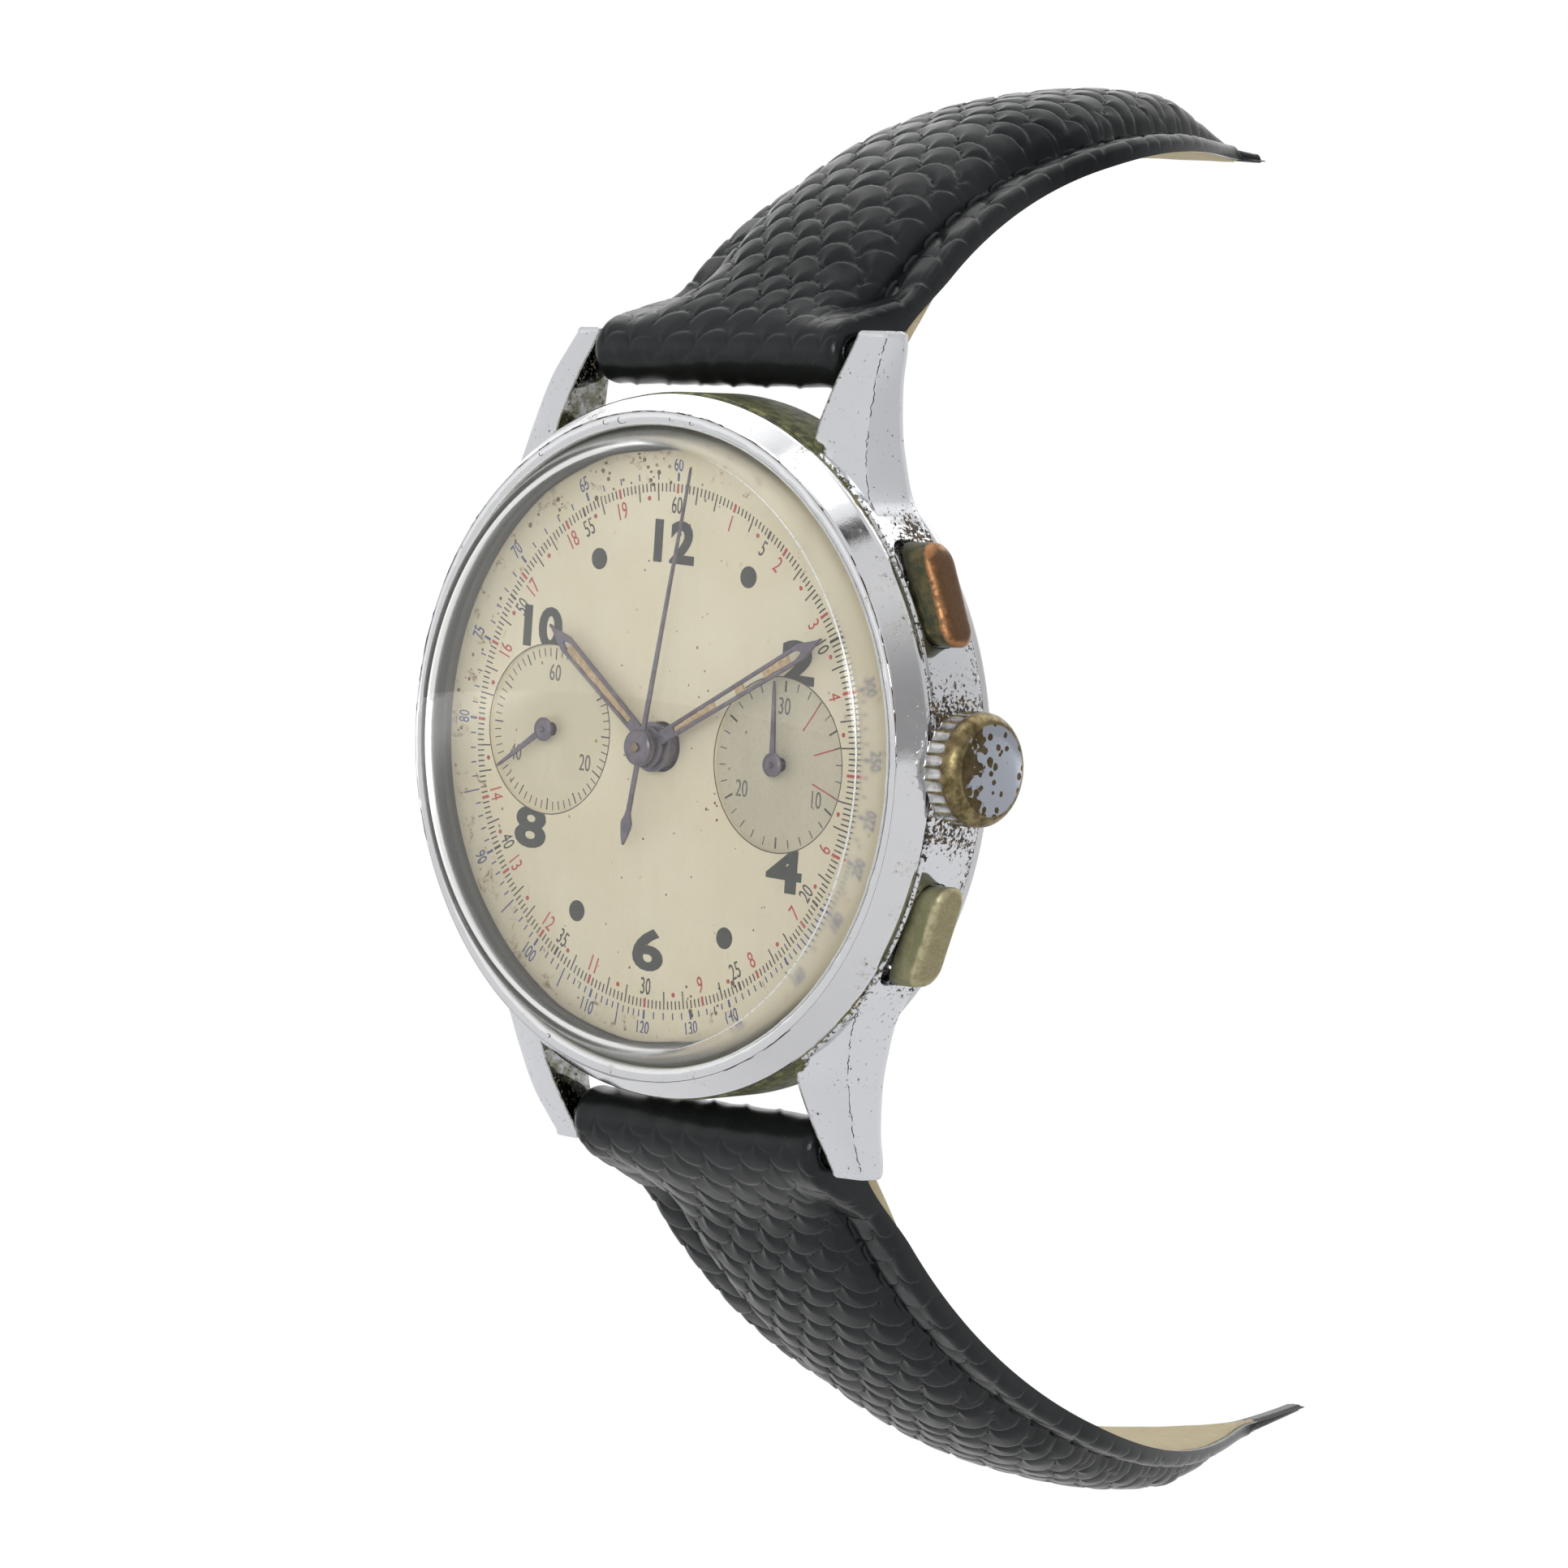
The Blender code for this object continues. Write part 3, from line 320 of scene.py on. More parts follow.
def pusher_material(name, end, rim, side, salts, gloss):
    """Pushers whose plating is gone: bare metal on the worn end with a painted highlight along its rim, salts and grime
    on the sides, and painted shade that darkens the sides to near black deeper in the case.
    """
    m = Mat(name)
    x, y, z = m.xyz()
    n = m.noise(1.3, 6, 0.65)
    out = m.math("ADD", x, m.math("MULTIPLY", m.math("SUBTRACT", m.math("ABSOLUTE", z), PUSH_Y - 2.55), 0.3725))
    out = m.math("ADD", out, m.math("MULTIPLY", m.math("SUBTRACT", n, 0.5), 0.3))
    flank = m.mix(m.step(n, 0.4, 0.62), side, salts)
    # painted shade: the sides go near black where they sink into the case
    flank = m.mix(m.step(out, 17.6, 16.7, 0.0, 0.8), flank, (0.012, 0.012, 0.006))
    face = m.mix(m.step(m.noise(7.0, 5, 0.7), 0.3, 0.7), end, tuple(c * 0.72 for c in end))
    colour = m.mix(m.step(out, 18.1, 18.34), flank, face)
    # painted highlight: a band of the rim colour along the edge of the end face
    edge = m.math("MULTIPLY", m.math("MULTIPLY", m.step(out, 18.1, 18.32), m.step(out, 18.6, 18.44)), m.step(m.noise(2.9, 4), 0.34, 0.55))
    m.to("Base Color", m.mix(edge, colour, rim))
    m.to("Metallic", m.step(out, 18.1, 18.4, 0.35, 0.85))
    m.to("Roughness", m.step(n, 0.3, 0.7, gloss, gloss + 0.2))
    m.bump(m.noise(3.6, 6, 0.7), 0.3, 0.08)
    return m.mat


START_MAT = pusher_material("start_pusher_copper", (0.15, 0.08, 0.042), (0.36, 0.175, 0.075), (0.03, 0.037, 0.012), (0.1, 0.08, 0.03), 0.28)
RESET_MAT = pusher_material("reset_pusher_brass", (0.36, 0.32, 0.185), (0.44, 0.4, 0.25), (0.16, 0.16, 0.08), (0.23, 0.22, 0.12), 0.42)


def dial_material(name, low, high, rings=False):
    m = Mat(name, rough=0.46)
    x, y, z = m.xyz()
    r = m.math("POWER", m.math("ADD", m.math("POWER", x, 2.0), m.math("POWER", z, 2.0)), 0.5)
    cloud = m.noise(0.16, 4, 0.6)
    colour = m.mix(m.step(cloud, 0.3, 0.7), low, high)
    grain = m.noise(9.0, 3, 0.6)
    colour = m.mix(m.step(grain, 0.52, 0.75, 0.0, 0.5 if rings else 0.14), colour, tuple(c * 0.62 for c in low))
    edge = m.step(r, 11.0, 15.4)
    spots = m.math("ADD", m.noise(1.25, 6, 0.7, 0.4), m.math("MULTIPLY", edge, m.step(x, 6.0, -6.0, 0.085, 0.115)))
    spot = m.step(spots, 0.705, 0.76)
    colour = m.mix(m.math("MULTIPLY", m.step(spots, 0.64, 0.72), 0.4), colour, (0.5, 0.36, 0.16))
    colour = m.mix(m.math("MULTIPLY", spot, 0.8), colour, (0.2, 0.115, 0.035))
    dust = m.math("ADD", m.cells(0.95), m.step(m.noise(0.9, 3), 0.4, 0.58, 0.16, -0.02))
    dust = m.step(m.math("SUBTRACT", dust, m.math("MULTIPLY", edge, 0.035)), 0.085, 0.045)
    colour = m.mix(m.math("MULTIPLY", dust, 0.75), colour, (0.2, 0.09, 0.02))
    streak = m.noise(1.0, 4, 0.6, 0.0, m.scaled(1.3, 1.0, 0.12))
    colour = m.mix(m.step(streak, 0.45, 0.8, 0.0, 0.2), colour, tuple(c * 0.84 for c in low))
    # painted shade: the dial is darkened towards 3 o'clock
    colour = m.mix(m.step(x, 1.5, 12.5, 0.0, 0.3), colour, (0.5, 0.46, 0.36))
    rim = m.step(m.math("ADD", r, m.math("MULTIPLY", cloud, 0.9)), 15.1, 16.0)
    colour = m.mix(m.math("MULTIPLY", rim, 0.45), colour, (0.5, 0.42, 0.27))
    m.to("Base Color", colour).to("Roughness", m.step(grain, 0.3, 0.7, 0.4, 0.52))
    m.bsdf.inputs["Metallic"].default_value = 0.18
    m.bump(m.math("ADD", m.math("MULTIPLY", grain, 0.5 if rings else 0.2), m.math("MULTIPLY", spot, 0.4)), 0.16, 0.04)
    return m.mat


DIAL_MAT = dial_material("aged_dial", (0.75, 0.675, 0.485), (0.8, 0.735, 0.56))
SUB_MAT = dial_material("aged_register", (0.66, 0.6, 0.43), (0.72, 0.66, 0.49))
SUB_GREY = dial_material("grained_register", (0.52, 0.48, 0.36), (0.6, 0.555, 0.42), rings=True)


def ink(name, rgb, fade=0.35):
    m = Mat(name, rough=0.55)
    n = m.noise(2.6, 5, 0.65)
    m.to("Base Color", m.mix(m.step(n, 0.5, 0.78, 0.0, fade), rgb, (0.6, 0.53, 0.4)))
    m.to("Roughness", m.step(n, 0.3, 0.7, 0.45, 0.65))
    return m.mat


BLACK_INK = ink("black_print", (0.034, 0.034, 0.031))
OLIVE_INK = ink("numeral_print", (0.036, 0.041, 0.036), 0.1)
GREY_INK = ink("grey_print", (0.12, 0.115, 0.1), 0.5)
RED_INK = ink("red_print", (0.46, 0.055, 0.055))
BLUE_INK = ink("blue_print", (0.04, 0.058, 0.2))


def blued(name):
    m = Mat(name, metal=0.85)
    n = m.noise(1.4, 5, 0.6)
    m.to("Base Color", m.mix(m.step(n, 0.32, 0.68), (0.125, 0.11, 0.145), (0.215, 0.19, 0.225)))
    m.to("Roughness", m.step(n, 0.3, 0.7, 0.28, 0.5))
    m.bump(m.noise(7.0, 4), 0.2, 0.03)
    return m.mat


BLUED = blued("tarnished_blued_steel")


def lume_material():
    m = Mat("aged_lume", rough=0.85)
    n = m.noise(3.2, 6, 0.7)
    m.to("Base Color", m.mix(m.step(n, 0.3, 0.7), (0.4, 0.26, 0.125), (0.62, 0.48, 0.3)))
    m.bump(n, 0.7, 0.08)
    return m.mat


LUME = lume_material()
POST_MAT = Mat("hand_post_brown", metal=1.0, rough=0.42)
POST_MAT.to("Base Color", POST_MAT.mix(POST_MAT.noise(3.0, 3), (0.2, 0.14, 0.1), (0.34, 0.24, 0.16)))


def leather_material(name, shine):
    m = Mat(name)
    n = m.noise(1.2, 5, 0.6)
    fine = m.cells(11.0)
    m.to("Base Color", m.mix(n, (0.006, 0.0072, 0.008), (0.0115, 0.013, 0.0143)))
    m.to("Roughness", m.step(n, 0.3, 0.72, shine, shine + 0.12))
    x, y, z = m.xyz()
    dry = m.math("ADD", m.math("MULTIPLY", m.step(z, 21.0, 22.8), m.step(y, 2.2, -1.8)), m.step(y, 7.5, 14.0))
    m.to("Specular IOR Level", m.lerp(m.math("MULTIPLY", dry, m.step(z, 16.0, 19.0)), 0.25, 0.06))
    m.bump(m.math("ADD", m.math("MULTIPLY", fine, 0.5), m.math("MULTIPLY", m.noise(14.0, 4), 0.5)), 0.22, 0.045)
    return m.mat


LEATHER = leather_material("black_lizard_leather", 0.15)
THREAD_MAT = leather_material("black_thread", 0.5)


def lining_material():
    m = Mat("tan_lining", rough=0.85)
    n = m.noise(0.8, 6, 0.65)
    pores = m.noise(9.0, 5, 0.7)
    m.to("Base Color", m.mix(m.math("ADD", m.math("MULTIPLY", n, 0.6), m.math("MULTIPLY", pores, 0.4)), (0.3, 0.24, 0.125), (0.58, 0.51, 0.34)))
    m.to("Roughness", m.step(pores, 0.3, 0.7, 0.78, 0.95))
    m.bump(pores, 0.5, 0.08)
    return m.mat


LINING = lining_material()


def crystal_material():
    m = bpy.data.materials.new("acrylic_crystal")
    m.use_nodes = True
    tree = m.node_tree
    bsdf = tree.nodes["Principled BSDF"]
    bsdf.inputs["Base Color"].default_value = (0.985, 0.985, 0.97, 1)
    bsdf.inputs["Transmission Weight"].default_value = 1.0
    bsdf.inputs["IOR"].default_value = 1.49
    place = tree.nodes.new("ShaderNodeTexCoord")
    scale = tree.nodes.new("ShaderNodeMapping")
    scale.inputs["Scale"].default_value = (1000, 1000, 1000)
    tree.links.new(place.outputs["Object"], scale.inputs["Vector"])
    n = tree.nodes.new("ShaderNodeTexNoise")
    n.inputs["Scale"].default_value = 0.5
    n.inputs["Detail"].default_value = 6
    tree.links.new(scale.outputs["Vector"], n.inputs["Vector"])

    def ramp(value, low, high, out0, out1):
        node = tree.nodes.new("ShaderNodeMapRange")
        node.interpolation_type = "SMOOTHSTEP"
        for key, number in (("From Min", low), ("From Max", high), ("To Min", out0), ("To Max", out1)):
            node.inputs[key].default_value = number
        tree.links.new(value, node.inputs["Value"])
        return node.outputs["Result"]

    depth = tree.nodes.new("ShaderNodeSeparateXYZ")
    tree.links.new(scale.outputs["Vector"], depth.inputs[0])
    flat = tree.nodes.new("ShaderNodeVectorMath")
    flat.operation = "MULTIPLY"
    flat.inputs[1].default_value = (1, 0, 1)
    tree.links.new(scale.outputs["Vector"], flat.inputs[0])
    long = tree.nodes.new("ShaderNodeVectorMath")
    long.operation = "LENGTH"
    tree.links.new(flat.outputs["Vector"], long.inputs[0])
    wall = tree.nodes.new("ShaderNodeMath")
    wall.operation = "MULTIPLY"
    tree.links.new(ramp(long.outputs["Value"], 14.9, 15.5, 0.0, 1.0), wall.inputs[0])
    tree.links.new(ramp(depth.outputs["Y"], -10.05, -9.85, 0.0, 0.22), wall.inputs[1])
    both = tree.nodes.new("ShaderNodeMath")
    both.operation = "ADD"
    tree.links.new(ramp(n.outputs["Fac"], 0.45, 0.8, 0.0, 0.015), both.inputs[0])
    tree.links.new(wall.outputs[0], both.inputs[1])
    tree.links.new(both.outputs[0], bsdf.inputs["Roughness"])
    # painted shade: the crystal's lower wall is tinted dark on the 9 o'clock side
    dim = tree.nodes.new("ShaderNodeMath")
    dim.operation = "MULTIPLY"
    tree.links.new(ramp(depth.outputs["Y"], -9.7, -8.7, 0.0, 1.0), dim.inputs[0])
    tree.links.new(ramp(depth.outputs["X"], 4.0, -6.0, 0.0, 1.0), dim.inputs[1])
    tint = tree.nodes.new("ShaderNodeMix")
    tint.data_type = "RGBA"
    tree.links.new(dim.outputs[0], tint.inputs["Factor"])
    tint.inputs[6].default_value = (0.985, 0.985, 0.97, 1)
    tint.inputs[7].default_value = (0.22, 0.23, 0.19, 1)
    tree.links.new(tint.outputs[2], bsdf.inputs["Base Color"])
    clear = tree.nodes.new("ShaderNodeBsdfTransparent")
    clear.inputs["Color"].default_value = (0.95, 0.95, 0.94, 1)
    mix = tree.nodes.new("ShaderNodeMixShader")
    path = tree.nodes.new("ShaderNodeLightPath")
    tree.links.new(path.outputs["Is Shadow Ray"], mix.inputs["Fac"])
    tree.links.new(bsdf.outputs["BSDF"], mix.inputs[1])
    tree.links.new(clear.outputs["BSDF"], mix.inputs[2])
    tree.links.new(mix.outputs["Shader"], tree.nodes["Material Output"].inputs["Surface"])
    return m


CRYSTAL_MAT = crystal_material()
# painted highlight: pale metal for the ring that stands in for the crystal edge's reflection line
EDGE_HIGHLIGHT_MAT = metal("crystal_edge_highlight", (0.78, 0.78, 0.75), (0.92, 0.92, 0.9), 0.3)


# ---------------------------------------------------------------- mesh helpers
def make(name, verts, faces, mats, body, nodes=(), angle=32, index=None, recalc=True):
    """A finished piece that rides on a body and stands for the CAD nodes it replaces."""
    mesh = bpy.data.meshes.new(name)
    mesh.from_pydata(W(verts).tolist(), [], [tuple(int(i) for i in f) for f in faces])
    mats = mats if isinstance(mats, (list, tuple)) else [mats]
    for mat in mats:
        mesh.materials.append(mat)
    if index is not None:
        mesh.polygons.foreach_set("material_index", np.asarray(index, np.int32))
    if recalc:
        bm = bmesh.new()
        bm.from_mesh(mesh)
        bmesh.ops.recalc_face_normals(bm, faces=bm.faces)
        bm.to_mesh(mesh)
        bm.free()
    mesh.shade_smooth()
    mesh.set_sharp_from_angle(angle=radians(angle))
    mesh.update()
    obj = bpy.data.objects.new(name, mesh)
    bpy.context.scene.collection.objects.link(obj)
    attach(obj, body)
    if nodes:
        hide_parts(*nodes)
    return obj


def lathe(profile, seg, warp=None, closed=False):
    """Points and faces of a turned shape from (radius, height) points; warp(r, h, angle) may move them."""
    angles = np.arange(seg) * 2 * pi / seg
    verts, rows = [], []
    for r, h in profile:
        if r < 1e-6:
            rows.append([len(verts)] * seg)
            verts.append((0, 0, h))
            continue
        rr, hh = np.full(seg, r), np.full(seg, h)
        if warp:
            rr, hh = warp(rr, hh, angles)
        rows.append(list(range(len(verts), len(verts) + seg)))
        verts += list(zip(rr * np.cos(angles), rr * np.sin(angles), hh))
    faces = []
    pairs = list(zip(rows, rows[1:])) + ([(rows[-1], rows[0])] if closed else [])
    for a, b in pairs:
        for i in range(seg):
            j = (i + 1) % seg
            face = []
            for k in (a[i], a[j], b[j], b[i]):
                if k not in face:
                    face.append(k)
            if len(face) > 2:
                faces.append(face)
    return np.array(verts, float), faces


def rings_loft(rings, cap=True):
    """Faces over rings of one point count."""
    n, count = len(rings[0]), len(rings)
    verts = np.concatenate([np.asarray(r, float) for r in rings])
    faces = [(k * n + i, k * n + (i + 1) % n, (k + 1) * n + (i + 1) % n, (k + 1) * n + i) for k in range(count - 1) for i in range(n)]
    if cap:
        faces += [tuple(range(n))[::-1], tuple(range((count - 1) * n, count * n))]
    return verts, faces


def join(parts):
    """Several (verts, faces) as one."""
    verts, faces, at = [], [], 0
    for v, f in parts:
        verts.append(np.asarray(v, float))
        faces += [tuple(i + at for i in face) for face in f]
        at += len(v)
    return np.concatenate(verts), faces


def baked(obj):
    bpy.context.scene.collection.objects.link(obj)
    bpy.context.view_layer.update()
    graph = bpy.context.evaluated_depsgraph_get()
    mesh = bpy.data.meshes.new_from_object(obj.evaluated_get(graph))
    bpy.data.objects.remove(obj, do_unlink=True)
    bm = bmesh.new()
    bm.from_mesh(mesh)
    bmesh.ops.remove_doubles(bm, verts=bm.verts, dist=1e-5)
    bmesh.ops.recalc_face_normals(bm, faces=bm.faces)
    bm.to_mesh(mesh)
    bm.free()
    out = (np.array([v.co[:] for v in mesh.vertices]), [tuple(p.vertices) for p in mesh.polygons])
    bpy.data.meshes.remove(mesh)
    return out


def plate(loops, h0, h1, round_by=0.03):
    """A flat plate with rounded edges between two heights; further loops are holes."""
    curve = bpy.data.curves.new("plate", "CURVE")
    curve.dimensions = "2D"
    curve.fill_mode = "BOTH"
    curve.extrude = (h1 - h0) / 2 - round_by
    curve.bevel_depth = round_by
    curve.bevel_resolution = 1
    curve.offset = -round_by
    for loop in loops:
        spline = curve.splines.new("POLY")
        spline.points.add(len(loop) - 1)
        for point, (x, y) in zip(spline.points, loop):
            point.co = (x, y, 0, 1)
        spline.use_cyclic_u = True
    v, f = baked(bpy.data.objects.new("plate", curve))
    v[:, 2] += (h0 + h1) / 2
    return v, f


def solid_cut(base, cutters, joins=()):
    """A mesh with others cut out of it and joined to it, as (verts, faces)."""
    made = []
    for v, f in (base, *joins, *cutters):
        mesh = bpy.data.meshes.new("tool")
        mesh.from_pydata([tuple(p) for p in np.asarray(v)], [], [tuple(int(i) for i in q) for q in f])
        bm = bmesh.new()
        bm.from_mesh(mesh)
        bmesh.ops.recalc_face_normals(bm, faces=bm.faces)
        bm.to_mesh(mesh)
        bm.free()
        made.append(bpy.data.objects.new("tool", mesh))
    for o in made[1:]:
        bpy.context.scene.collection.objects.link(o)
    for i, o in enumerate(made[1:]):
        step = made[0].modifiers.new("tool", "BOOLEAN")
        step.operation = "UNION" if i < len(joins) else "DIFFERENCE"
        step.solver = "EXACT"
        step.object = o
    out = baked(made[0])
    for o in made[1:]:
        bpy.data.objects.remove(o, do_unlink=True)
    return out


def spun(v, deg):
    """Points turned clockwise, seen from the front, about the case axis."""
    a = -radians(deg)
    v = np.array(v, float)
    return np.stack([v[:, 0] * cos(a) - v[:, 1] * sin(a), v[:, 0] * sin(a) + v[:, 1] * cos(a), v[:, 2]], 1)


def circle(r, n=48, at=(0, 0)):
    return [(at[0] + r * cos(2 * pi * i / n), at[1] + r * sin(2 * pi * i / n)) for i in range(n)]


def rod(r, h0, h1, seg=48, at=(0, 0)):
    v, f = lathe([(0, h1), (r, h1), (r, h0), (0, h0)], seg)
    v[:, 0] += at[0]
    v[:, 1] += at[1]
    return v, f


def rod_x(r, x0, x1, y, h, seg=32):
    v, f = lathe([(0, x1), (r, x1), (r, x0), (0, x0)], seg)
    return np.stack([v[:, 2], y + v[:, 0], h + v[:, 1]], 1), f


def smooth_steps(points, n):
    """A smooth line through points, n pieces between each two."""
    p = np.asarray(points, float)
    ext = np.vstack([2 * p[0] - p[1], p, 2 * p[-1] - p[-2]])
    out = []
    for i in range(len(p) - 1):
        a, b, c, d = ext[i : i + 4]
        for k in range(n):
            t = k / n
            out.append(0.5 * ((2 * b) + (-a + c) * t + (2 * a - 5 * b + 4 * c - d) * t**2 + (-a + 3 * b - 3 * c + d) * t**3))
    return np.vstack([out, p[-1]])


def wobble(seed, terms=9, low=2, high=40):
    """A fixed, gentle unevenness round a circle."""
    rng = np.random.default_rng(seed)
    k = rng.integers(low, high, terms)
    a, p = rng.normal(0, 1, terms) / np.sqrt(terms), rng.uniform(0, 2 * pi, terms)
    return lambda t: sum(x * np.cos(n * t + q) for n, x, q in zip(k, a, p))


# ---------------------------------------------------------------- case
uneven, blister = wobble(3), wobble(8, 14, 20, 90)


def bezel_warp(r, h, t):
    lip = np.clip((h - 8.6) / 0.25, 0, 1) * np.clip((17.0 - r) / 0.1, 0, 1)
    return r + 0.006 * uneven(t), h + 0.006 * uneven(t + 1) + lip * 0.05 * np.maximum(blister(t) - 0.7, 0)


bezel_profile = [(15.75, 7.3), (17.93, 7.3), (17.985, 7.33), (18.0, 7.4), (18.0, 7.56), (17.98, 7.63)]
bezel_profile += [(17.98 - 0.87 * i / 10, 7.63 + 1.235 * i / 10) for i in range(1, 10)]
bezel_profile += [(17.115, 8.855), (17.1, 8.9), (17.075, 8.9), (17.06, 8.855), (17.045, 8.905), (17.0, 8.93), (16.85, 8.945), (16.65, 8.94), (16.5, 8.92), (16.43, 8.89), (16.385, 8.82), (16.37, 8.7), (16.37, 7.66), (15.75, 7.66)]
v, f = lathe(bezel_profile, 288, bezel_warp, closed=True)
index = [1 if np.hypot(*v[list(face), :2].mean(0)) < 16.52 else 0 for face in f]
make("bezel_ring", v, f, [BEZEL_MAT, SEAT_MAT], "case", ["bezel"], 28, index)
rng = np.random.default_rng(12)
threads, start = [], 0.0
while start < 2 * pi - 0.12:
    span = rng.uniform(0.03, 0.2)
    rings = []
    for k in range(9):
        a = start + span * k / 8
        r = rng.uniform(0.014, 0.034) * (0.4 if k in (0, 8) else 1.0)
        mid = 17.08 + 0.012 * rng.normal()
        rings.append([((mid + r * cos(q)) * cos(a), (mid + r * cos(q)) * sin(a), 8.885 + r * sin(q)) for q in np.arange(6) * pi / 3])
    if start < 3.5 or start > 4.9 and start < 5.3:
        threads.append(rings_loft(rings))
    start += span + rng.uniform(0.0, 0.1)
for clock, r, size in ((348, 16.8, 0.2), (352, 16.74, 0.3), (4, 16.72, 0.15), (9, 16.7, 0.16), (331, 16.8, 0.14), (203, 16.7, 0.17), (188, 16.8, 0.13)):
    a = radians(90 - clock)
    rings = []
    for k in range(13):
        q = 0.5 + 3.6 * k / 12
        w = 0.028 * (0.3 if k in (0, 12) else 1.0)
        cx, cy = r * cos(a) + size * cos(q + a), r * sin(a) + size * 0.62 * sin(q + a)
        rings.append([(cx + w * cos(t) * cos(q), cy + w * cos(t) * sin(q), 8.945 + w * sin(t)) for t in np.arange(6) * pi / 3])
    threads.append(rings_loft(rings))
v, f = join(threads)
make("bezel_cracks", v, f, GRIME, "case", angle=60)

crystal_profile = [(0, 11.6), (3, 11.56), (6, 11.44), (9, 11.22), (11.5, 10.94), (13.3, 10.66), (14.5, 10.42), (15.1, 10.27), (15.42, 10.14), (15.6, 9.98), (15.72, 9.78), (15.95, 9.35), (16.2, 8.9), (16.32, 8.7), (16.36, 8.5), (16.36, 7.74), (16.33, 7.7)]
crystal_profile += [(16.2, 7.69), (16.1, 7.7), (16.04, 7.76), (15.98, 8.06), (15.86, 8.36), (15.56, 8.94), (15.32, 9.4), (15.12, 9.63), (14.8, 9.8), (14.2, 9.97), (13, 10.2), (11, 10.5), (8.5, 10.76), (5.5, 10.97), (2.5, 11.07), (0, 11.1)]
# painted highlight: a thin bright metal ring along the right of the crystal's upper edge stands in for its reflection
# line
edge_rings = []
for k in range(141):
    clock = radians(18 + 150 * k / 140)
    fat = 0.055 * sin(pi * k / 140) ** 0.5 + 0.004
    ring_pts = [(15.5 + fat * cos(q * pi / 4), 10.07 + fat * sin(q * pi / 4)) for q in range(8)]
    edge_rings.append(np.array([(r * sin(clock), r * cos(clock), h) for r, h in ring_pts]))
v, f = rings_loft(edge_rings)
make("crystal_edge_highlight", v, f, EDGE_HIGHLIGHT_MAT, "case", angle=60)
v, f = lathe(crystal_profile, 256)
make("domed_crystal", v, f, CRYSTAL_MAT, "case", ["crystal"], 40)

back_profile = [(0, 0.75), (13.0, 0.8), (14.8, 1.5), (15.2, 2.2), (15.2, 4.2), (15.78, 4.2), (15.78, 3.3), (16.3, 3.3), (16.4, 3.18), (17.72, 3.18), (17.81, 3.14), (17.85, 3.04), (17.85, 2.82), (17.76, 2.62)]
back_profile += [(17.3, 2.05), (16.6, 1.38), (15.7, 0.86), (14.8, 0.54), (13.9, 0.3), (13.4, 0.2), (13.2, 0.18), (13.05, 0.24), (12.9, 0.13), (12.4, 0.06), (11.8, 0.0), (11.4, 0.0), (11.3, 0.05), (11.2, 0.0), (6, 0), (0, 0)]
back = lathe(back_profile, 200)
notch_v, notch_f = rod(1.3, 2.72, 3.6, 32, (-13.15, -13.15))
v, f = solid_cut(back, [(notch_v, notch_f)])
make("snap_back", v, f, BACK_MAT, "case", ["caseback"], 25)

v, f = lathe([(17.72, 3.36), (17.72, 3.2), (16.45, 3.2), (16.45, 3.36)], 160, closed=True)
make("back_gap_grime", v, f, GRIME, "case", angle=30)

# lugs: stations along y of the front inner edge, the ridge, the outer edge and the rear
LUG = np.array(
    [
        (10.9, 7.1, 14.0, 6.9, 14.2, 3.6),
        (12.0, 7.1, 13.5, 6.8, 13.7, 3.55),
        (13.25, 7.1, 12.65, 6.55, 12.95, 3.5),
        (14.8, 7.0, 12.15, 6.25, 12.5, 3.48),
        (16.4, 6.72, 11.85, 5.85, 12.15, 3.42),
        (18.7, 5.5, 11.5, 5.05, 11.8, 3.1),
        (20.3, 4.45, 11.15, 4.2, 11.5, 2.55),
        (21.1, 3.95, 11.0, 3.7, 11.3, 2.3),
    ]
)


def softened(poly, r, n=3):
    """A polygon with each corner rounded."""
    p = [np.asarray(q, float) for q in poly]
    out = []
    for i, c in enumerate(p):
        a, b = p[i - 1] - c, p[(i + 1) % len(p)] - c
        k = min(r, 0.42 * np.linalg.norm(a), 0.42 * np.linalg.norm(b))
        a, b = c + a / np.linalg.norm(a) * k, c + b / np.linalg.norm(b) * k
        for j in range(n + 1):
            t = j / n
            out.append((1 - t) ** 2 * a + 2 * t * (1 - t) * c + t**2 * b)
    return np.array(out)


def lug_mesh(sx, sy):
    rows = smooth_steps(LUG, 6)
    rings = []
    for y, hf, xr, hr, xo, hb in rows:
        xi = max(LUG_IN, sqrt(max(0.0, 16.8**2 - y**2)))
        wide = min(0.62, max(0.1, 0.12 + 0.075 * (21.3 - y)))
        xm = xr + (xi - xr) * wide
        hm = hr + (hf - hr) * wide + 0.14 * wide
        poly = softened([(xi, hf), (xm, hm), (xr, hr), (xo, hb + 0.5), (xo - 0.15, hb), (xi, hb)], 0.07)
        rings.append([(sx * x, sy * y, h) for x, h in poly])
    last = np.array(rings[-1])
    mid = last.mean(0)
    for grow, out in ((0.975, 0.12), (0.93, 0.22), (0.84, 0.3)):
        ring = mid + (last - mid) * grow
        ring[:, 1] = last[:, 1] + sy * out
        rings.append(ring)
    return rings_loft(rings)


